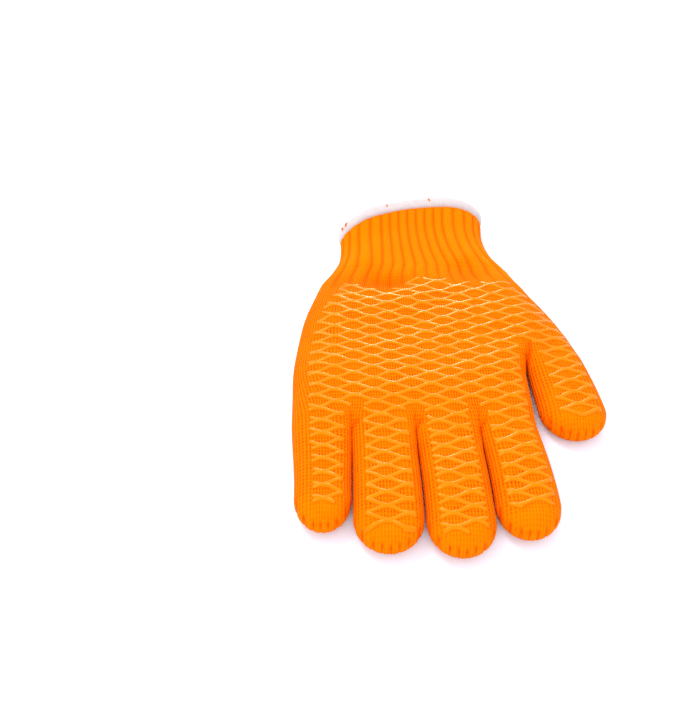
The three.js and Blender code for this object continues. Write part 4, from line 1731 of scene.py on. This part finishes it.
@dataclass
class OverlockEdge:
    """The white overlocked edge: a soft roll of dense slanting yarn. Lengths are millimetres."""

    plan: GlovePlan
    cuff: RibbedCuff
    depth: float = 6.0
    overlap: float = 2.2
    thickness: float = 4.2
    sink: float = 0.4
    threads: int = 122
    points_per_thread: int = 8
    sectors: int = 24
    thread_stand: float = 0.26
    thread_shape: float = 0.6
    thread_slant: float = 0.55
    thread_pitch: float = 1.5
    thread_wander: Wander = Wander(0.35, 11.0, 41)
    knot: float = 0.14
    swell: Wander = Wander(0.06, 30.0, 42)
    side_shape: float = 0.8
    floor_gap: float = 0.04
    measure_points: int = 4001
    almost_round: float = 1.9999
    end_turn: tuple[float, float] = (-0.35, 1.0)
    end_points: int = 9
    end_sectors: int = 8
    end_proud: float = 0.15
    end_middle: float = 2.4
    end_reach: float = 1.9

    def rim(self, share: Array) -> Array:
        """Points round the mouth.

        Args:
            share: Shares from 0 to 2, over the top and back underneath.

        Returns:
            The points in the plan.
        """
        end = np.ones_like(share)
        top = self.cuff.place(np.clip(share, 0.0, 1.0), end, Side.UPPER)
        under = self.cuff.place(np.clip(2.0 - share, 0.0, 1.0), end, Side.UNDER)
        return np.where((share < 1.0)[..., None], top, under)

    def round_mouth(self, count: int) -> tuple[Array, Array, Array]:
        """Even steps of length round the mouth.

        Args:
            count: Number of steps.

        Returns:
            Shares, points and outward directions.
        """
        fine = np.linspace(0.0, 2.0, self.measure_points)
        points = self.rim(np.minimum(fine, self.almost_round))
        run = np.concatenate([[0.0], np.cumsum(np.linalg.norm(np.diff(points, axis=0), axis=1))])
        share = np.interp(np.arange(count) / count * run[-1], run, fine)
        rim = self.rim(share)
        way = np.roll(rim, -2, axis=0) - np.roll(rim, 2, axis=0)
        return share, rim, unit(np.cross(way, [0.0, 1.0, 0.0]))

    def build(self, material: bpy.types.Material, loose: bpy.types.Material) -> None:
        """Makes the roll and the few ends of the cuff's own yarn that were caught in it.

        The section is an ellipse, and the threads are ridges, sines of the way round that slant
        with the angle round the section.

        Args:
            material: Material of the roll.
            loose: Material of the caught ends.
        """
        count = self.threads * self.points_per_thread
        share, rim, out = self.round_mouth(count)
        angle = np.arange(self.sectors) / self.sectors * TURN
        place = np.arange(count) / count * self.threads
        along, aside = place * self.thread_pitch, np.zeros_like(place)
        phase = place + self.thread_slant * np.cos(angle)[:, None]
        phase = phase + self.thread_wander.at(along, aside)
        ridge = self.thread_stand * (ridges(phase) ** self.thread_shape - 1.0)
        knots = self.knot * np.sin(3.0 * angle)[:, None] * ridges(phase) ** 2
        swell = 1.0 + self.swell.at(along, aside)
        half_out = 0.5 * self.thickness * swell + ridge + knots
        half_past = 0.5 * (self.depth + self.overlap) * swell + ridge
        side_out = (np.sign(np.cos(angle)) * np.abs(np.cos(angle)) ** self.side_shape)[:, None]
        past = half_past * np.sin(angle)[:, None] + 0.5 * (self.depth - self.overlap)
        body = rim[None] + out[None] * (half_out * side_out - self.sink)[..., None]
        body = body + np.array([0.0, 1.0, 0.0]) * past[..., None]
        body[..., 2] = np.maximum(body[..., 2], self.floor_gap)
        uv = np.stack(np.broadcast_arrays(place[None, :], angle[:, None]), axis=-1)
        roll = wrapped("overlock_roll", body, uv, self.plan.origin)
        hang(roll, material, "edge_yarn", "cuff_edge")
        hang(self.caught_ends(share, rim, out), loose, "rib_knit")

    def caught_ends(self, share: Array, rim: Array, out: Array) -> bpy.types.Object:
        """Makes the caught ends of yarn, each a half turn over the roll.

        Args:
            share: Shares of the way round the mouth.
            rim: Points there.
            out: Outward directions there.

        Returns:
            The piece.
        """
        strands = Strands()
        turn = np.linspace(*self.end_turn, self.end_points) * math.pi
        high = (0.5 * self.thickness + self.end_proud) * np.sin(turn)
        past = self.end_middle + self.end_reach * np.cos(turn)
        towards_mouth = np.array([0.0, 1.0, 0.0])
        for end in CAUGHT_ENDS:
            number = int(np.argmin(np.abs(share - end.spot)))
            across = np.cross(out[number], towards_mouth) * end.slant
            centre = rim[number] + np.outer(high - self.sink, out[number])
            centre = centre + np.outer(past, towards_mouth) + np.outer(np.cos(turn), across)
            way = unit(np.gradient(centre, axis=0))
            side = unit(np.cross(way, unit(across)))
            up = np.cross(way, side)
            strands.sweep(centre, side * end.thick, up * end.thick, full_round(self.end_sectors))
        return strands.build("caught_yarn_ends", self.plan.origin)


def linear(code: str) -> tuple[float, float, float, float]:
    """Linear colour of an sRGB hex code, by the curve that sRGB sets.

    Args:
        code: The hex code with its sign in front.

    Returns:
        Red, green, blue and a full alpha.
    """
    parts = [int(code[place:place + 2], 16) / 255.0 for place in (1, 3, 5)]
    curve = [part / 12.92 if part <= 0.04045 else ((part + 0.055) / 1.055) ** 2.4 for part in parts]
    return (*curve, 1.0)


def noise_scale(size: float) -> float:
    """Scale of a noise, in cells a metre, for a pattern of a size in millimetres."""
    return 1.0 / (size * MM)


def add_node(tree: bpy.types.NodeTree, kind: str, inputs: dict, **settings) -> bpy.types.Node:
    """Adds a node to a tree.

    Args:
        tree: The material's node tree.
        kind: Blender's name of the node.
        inputs: Output socket, constant or sRGB hex code for each input, by its name or number.
        **settings: The node's own settings.

    Returns:
        The node.
    """
    node = tree.nodes.new(kind)
    for name, value in settings.items():
        setattr(node, name, value)
    for name, value in inputs.items():
        if isinstance(value, bpy.types.NodeSocket):
            tree.links.new(value, node.inputs[name])
        else:
            node.inputs[name].default_value = linear(value) if isinstance(value, str) else value
    return node


@dataclass(frozen=True)
class Finish:
    """A material with one Principled shader. Each finish gives that shader's inputs."""

    name: str

    def surface(self, tree: bpy.types.NodeTree) -> dict:
        """Inputs of the shader, made in the material's tree."""
        return {}

    def material(self) -> bpy.types.Material:
        """Builds the material.

        Returns:
            The material, with the shader's inputs as the finish gives them.
        """
        material = bpy.data.materials.new(self.name)
        material.use_nodes = True
        tree = material.node_tree
        tree.nodes.clear()
        shader = add_node(tree, "ShaderNodeBsdfPrincipled", self.surface(tree))
        add_node(tree, "ShaderNodeOutputMaterial", {"Surface": shader.outputs["BSDF"]})
        return material


@dataclass(frozen=True)
class KnitFinish(Finish):
    """Polyester and cotton yarn, machine knitted in one piece.

    The eye sees columns of small loops, each with a dark hole, matt, with a faint fuzz. The holes
    are the stitch pattern, with the shade inside them painted in, and shade is painted in creases,
    dents, rib grooves and tip puckers too. The uv counts wales of 1.2 mm and courses of 1.75 mm.
    Sizes of the patches where the knit is more open, of the spots in them and of the fuzz are in
    millimetres, and the bump is in metres. The fuzz is drawn coarser than real fibres, so that it
    shows.
    """

    name: str = "knitted_polyester_cotton"
    yarn: str = "#ee7900"
    # Colour of the holes: the stitch pattern, with the shade inside each hole painted in.
    deep: str = "#c02800"
    # Painted shade colour for creases, dents, rib grooves and puckers; loose knit is darkened
    # toward it too.
    fold_and_shade: str = "#dc3600"
    sheen: str = "#ffb060"
    hole: float = 0.86
    bump: float = 0.00019
    bump_strength: float = 0.9
    patch_size: float = 14.286
    fuzz_size: float = 0.66667
    spot_size: float = 2.381

    def formula(self) -> tuple:
        """Rows of a name, an operation and its terms, each a number or the name of an earlier row.

        A wale is the size of a sine, and a loop a cosine of the course that leans into a V beside
        the groove. A hole is the groove's depth by the loop's, painted dark as the shade inside it.
        Tight knit and folds change how dark and how deep the holes are. Creases, dents, rib grooves
        and puckers get painted shade from the first mark, and loose knit is darker.

        Returns:
            The rows, which end with the height for the bump.
        """
        return (
            ("half_turn", "MULTIPLY", "u", math.pi),
            ("sine", "SINE", "half_turn"),
            ("wale", "ABSOLUTE", "sine"),
            ("leg", "MULTIPLY_ADD", "wale", 0.3, "v"),
            ("phase", "MULTIPLY", "leg", TURN),
            ("cosine", "COSINE", "phase"),
            ("loop", "MULTIPLY_ADD", "cosine", 0.5, 0.5),
            ("groove", "SUBTRACT", 1.0, "wale"),
            ("gap", "POWER", "groove", 1.25),
            ("narrow_loop", "POWER", "loop", 1.4),
            ("loop_share", "MULTIPLY_ADD", "narrow_loop", 0.8, 0.2),
            ("any_hole", "MULTIPLY", "gap", "loop_share"),
            ("loose", "MULTIPLY_ADD", "tight", -0.8, 1.0),
            ("loose_hole", "MULTIPLY", "any_hole", "loose"),
            # The holes are painted dark, as the shade inside them.
            ("dark_hole", "MULTIPLY", "loose_hole", self.hole),
            ("spotted", "MULTIPLY", "patch", "spot"),
            ("open", "MULTIPLY_ADD", "spotted", 4.6, -0.2),
            ("shown_hole", "MULTIPLY", "dark_hole", "open"),
            ("fuzz", "SUBTRACT", 0.55, "hair"),
            ("depth", "MULTIPLY_ADD", "fuzz", 0.3, "shown_hole"),
            # Painted shade from the first mark, with loose knit darker.
            ("loose_knit_darkening", "MULTIPLY_ADD", "tight", -0.2, 0.2),
            ("painted_shade_and_loose_knit", "MULTIPLY_ADD", "fold_and_shade", 0.66, "loose_knit_darkening"),
            ("dip", "MULTIPLY", "gap", "loop"),
            ("crown", "POWER", "wale", 0.7),
            ("relief", "MULTIPLY_ADD", "dip", -0.7, "crown"),
            ("calm", "MULTIPLY_ADD", "tight", -0.3, 1.0),
            ("calm_relief", "MULTIPLY", "relief", "calm"),
            ("high", "MULTIPLY_ADD", "hair", 0.25, "calm_relief"),
        )

    def surface(self, tree: bpy.types.NodeTree) -> dict:
        """Loop colour from the sines of wale and course, with painted shade, and the same as bump.

        Args:
            tree: The material's tree.

        Returns:
            Inputs of the shader.
        """
        uv = add_node(tree, "ShaderNodeUVMap", {}, uv_map=UV_LAYER)
        parts = add_node(tree, "ShaderNodeSeparateXYZ", {0: uv.outputs["UV"]})
        place = add_node(tree, "ShaderNodeTexCoord", {}).outputs["Object"]
        made = {"u": parts.outputs[0], "v": parts.outputs[1]}
        for mark in MARKS:
            node = add_node(tree, "ShaderNodeAttribute", {}, attribute_name=mark)
            made[mark] = node.outputs["Fac"]
        for name, size, detail in (
            ("patch", self.patch_size, 3.0),
            ("hair", self.fuzz_size, 2.0),
            ("spot", self.spot_size, 1.0),
        ):
            inputs = {"Vector": place, "Scale": noise_scale(size), "Detail": detail}
            made[name] = add_node(tree, "ShaderNodeTexNoise", inputs).outputs[0]
        for name, operation, *terms in self.formula():
            inputs = {number: made.get(term, term) for number, term in enumerate(terms)}
            made[name] = add_node(tree, "ShaderNodeMath", inputs, operation=operation).outputs[0]
        # Painted shade: the yarn darkened toward the shade colour in creases, dents, grooves,
        # puckers and loose knit.
        shaded = add_node(
            tree, "ShaderNodeMix", {0: made["painted_shade_and_loose_knit"], 6: self.yarn, 7: self.fold_and_shade}, data_type="RGBA"
        )
        # The holes, painted dark as the shade inside them, and the fuzz.
        holed = add_node(
            tree, "ShaderNodeMix", {0: made["depth"], 6: shaded.outputs[2], 7: self.deep},
            data_type="RGBA", clamp_factor=True,
        )
        relief = {"Height": made["high"], "Strength": self.bump_strength, "Distance": self.bump}
        bump = add_node(tree, "ShaderNodeBump", relief)
        return {
            "Base Color": holed.outputs[2],
            "Normal": bump.outputs[0],
            "Roughness": 0.95,
            "Specular IOR Level": 0.06,
            "Specular Tint": self.sheen,
        }


@dataclass(frozen=True)
class MottledFinish(Finish):
    """A finish of two near colours in soft patches, with grain as bump. Sizes are millimetres."""

    dark: str = "#808080"
    light: str = "#909090"
    patch_size: float = 5.0
    patch_detail: float = 2.0
    grain_size: float = 1.0
    grain_detail: float = 0.0
    bump: float = 0.001
    bump_strength: float = 0.6
    shine: tuple = ()

    def surface(self, tree: bpy.types.NodeTree) -> dict:
        """Patches from one noise and grain from another.

        Args:
            tree: The material's tree.

        Returns:
            Inputs of the shader.
        """
        place = add_node(tree, "ShaderNodeTexCoord", {}).outputs["Object"]
        sizes = ((self.patch_size, self.patch_detail), (self.grain_size, self.grain_detail))
        patch, grain = [
            add_node(
                tree, "ShaderNodeTexNoise",
                {"Vector": place, "Scale": noise_scale(size), "Detail": detail},
            )
            for size, detail in sizes
        ]
        colours = {0: patch.outputs[0], 6: self.dark, 7: self.light}
        mix = add_node(tree, "ShaderNodeMix", colours, data_type="RGBA")
        relief = {"Height": grain.outputs[0], "Strength": self.bump_strength}
        bump = add_node(tree, "ShaderNodeBump", {**relief, "Distance": self.bump})
        return {"Base Color": mix.outputs[2], "Normal": bump.outputs[0], **dict(self.shine)}


@dataclass(frozen=True)
class RubberFinish(MottledFinish):
    """PVC paste printed on the knit and cured.

    The eye sees it glossy, a little uneven in colour, with flow marks that break up its highlights.
    """

    name: str = "printed_pvc_grip"
    dark: str = "#ee7300"
    light: str = "#f27b00"
    patch_size: float = 6.25
    grain_size: float = 7.6923
    bump: float = 0.0012
    shine: tuple = (("Roughness", 0.25), ("IOR", 1.36), ("Specular Tint", "#ffc468"))


@dataclass(frozen=True)
class YarnFinish(MottledFinish):
    """White polyester overlock yarn.

    The eye sees it bulky, soft and matt, with a pink blush painted into its colour as the
    reflection of light bounced off the orange knit beside it. Its fibres are drawn coarser than
    real ones, so that they show.
    """

    name: str = "white_overlock_yarn"
    # Pinkish: painted bounce light from the orange knit beside it.
    dark: str = "#b4a7a7"
    light: str = "#c7bebe"
    patch_size: float = 4.1667
    patch_detail: float = 3.0
    grain_size: float = 0.45455
    grain_detail: float = 2.0
    bump: float = 0.00025
    shine: tuple = (("Roughness", 0.95), ("Specular IOR Level", 0.15), ("Sheen Weight", 0.3))


@dataclass(frozen=True)
class PaperFinish(Finish):
    """White paper sweep, matt and a little cool, so that the orange bounced on it stays faint."""

    name: str = "matt_white_paper"
    colour: str = "#e6f1fe"

    def surface(self, tree: bpy.types.NodeTree) -> dict:
        """One colour without shine."""
        return {"Base Color": self.colour, "Roughness": 1.0, "Specular IOR Level": 0.0}


@dataclass
class Studio:
    """White sweep of floor, soft lights and the camera at the photograph's angle, in metres."""

    elevation: float = 46.0
    distance: float = 0.4
    focal_pixels: float = 813.0
    picture_height: float = 713.0
    sensor_width: float = 36.0
    target: tuple[float, float] = (-0.04893, 0.00426)
    floor_reach: float = 3.0
    floor_drop: float = 0.0002
    floor_lines: int = 9
    room_colour: tuple[float, float, float, float] = (1.0, 0.97, 0.99, 1.0)
    room_strength: float = 1.24

    def floor(self) -> None:
        """Adds the pale floor just under the glove, as a wide plane of many quads."""
        lines = self.floor_lines
        place = np.linspace(-self.floor_reach, self.floor_reach, lines)
        x, y = np.meshgrid(place, place)
        points = np.stack([x, y, np.full_like(x, -self.floor_drop)], axis=-1).reshape(-1, 3)
        numbers = np.arange(lines * lines).reshape(lines, lines)
        corners = [numbers[:-1, :-1], numbers[:-1, 1:], numbers[1:, 1:], numbers[1:, :-1]]
        mesh = bpy.data.meshes.new("studio_floor")
        mesh.from_pydata(points.tolist(), [], np.stack(corners, axis=-1).reshape(-1, 4).tolist())
        mesh.materials.append(PaperFinish().material())
        floor = bpy.data.objects.new("studio_floor", mesh)
        bpy.context.scene.collection.objects.link(floor)

    def light(self, lamp: Lamp) -> None:
        """Adds a square soft light that looks at the middle of the glove.

        Args:
            lamp: The light wanted.
        """
        data = bpy.data.lights.new(lamp.name, "AREA")
        data.size = lamp.size
        data.energy = lamp.power
        light = bpy.data.objects.new(lamp.name, data)
        light.location = lamp.place
        light.rotation_euler = (-Vector(lamp.place)).to_track_quat("-Z", "Y").to_euler()
        bpy.context.scene.collection.objects.link(light)

    def room(self) -> None:
        """Adds the white surroundings, which fill the shadows."""
        world = bpy.data.worlds.new("white_room")
        world.use_nodes = True
        background = world.node_tree.nodes["Background"]
        background.inputs["Color"].default_value = self.room_colour
        background.inputs["Strength"].default_value = self.room_strength
        bpy.context.scene.world = world

    def camera(self) -> None:
        """Adds the camera, above the fingertips and looking at the middle of the picture."""
        data = bpy.data.cameras.new("camera")
        data.sensor_width = self.sensor_width
        data.lens = self.focal_pixels * self.sensor_width / self.picture_height
        camera = bpy.data.objects.new("camera", data)
        angle = math.radians(self.elevation)
        target = Vector((*self.target, 0.0))
        camera.location = target + self.distance * Vector((0.0, -math.cos(angle), math.sin(angle)))
        camera.rotation_euler = (target - camera.location).to_track_quat("-Z", "Y").to_euler()
        bpy.context.scene.collection.objects.link(camera)
        bpy.context.scene.camera = camera

    def build(self) -> None:
        """Sets the floor, the lights, the white surroundings and the camera."""
        bpy.context.scene.view_settings.view_transform = "Standard"
        self.floor()
        for lamp in LAMPS:
            self.light(lamp)
        self.room()
        self.camera()


def main() -> None:
    """Builds the studio and the glove in order."""
    logging.basicConfig(level=logging.INFO, format="%(message)s")
    Studio().build()
    plan, gauge = GlovePlan(), Gauge()
    LOG.info("plan origin %.3f %.3f", *plan.origin)
    knit = KnitFinish().material()
    KnitShell(plan, gauge).build(knit)
    cuff = RibbedCuff(plan, gauge)
    cuff.build(KnitFinish(name="ribbed_elastic_knit").material())
    OverlockEdge(plan, cuff).build(YarnFinish().material(), knit)
    GripNet(plan).build(RubberFinish().material())


if __name__ == "__main__":
    main()
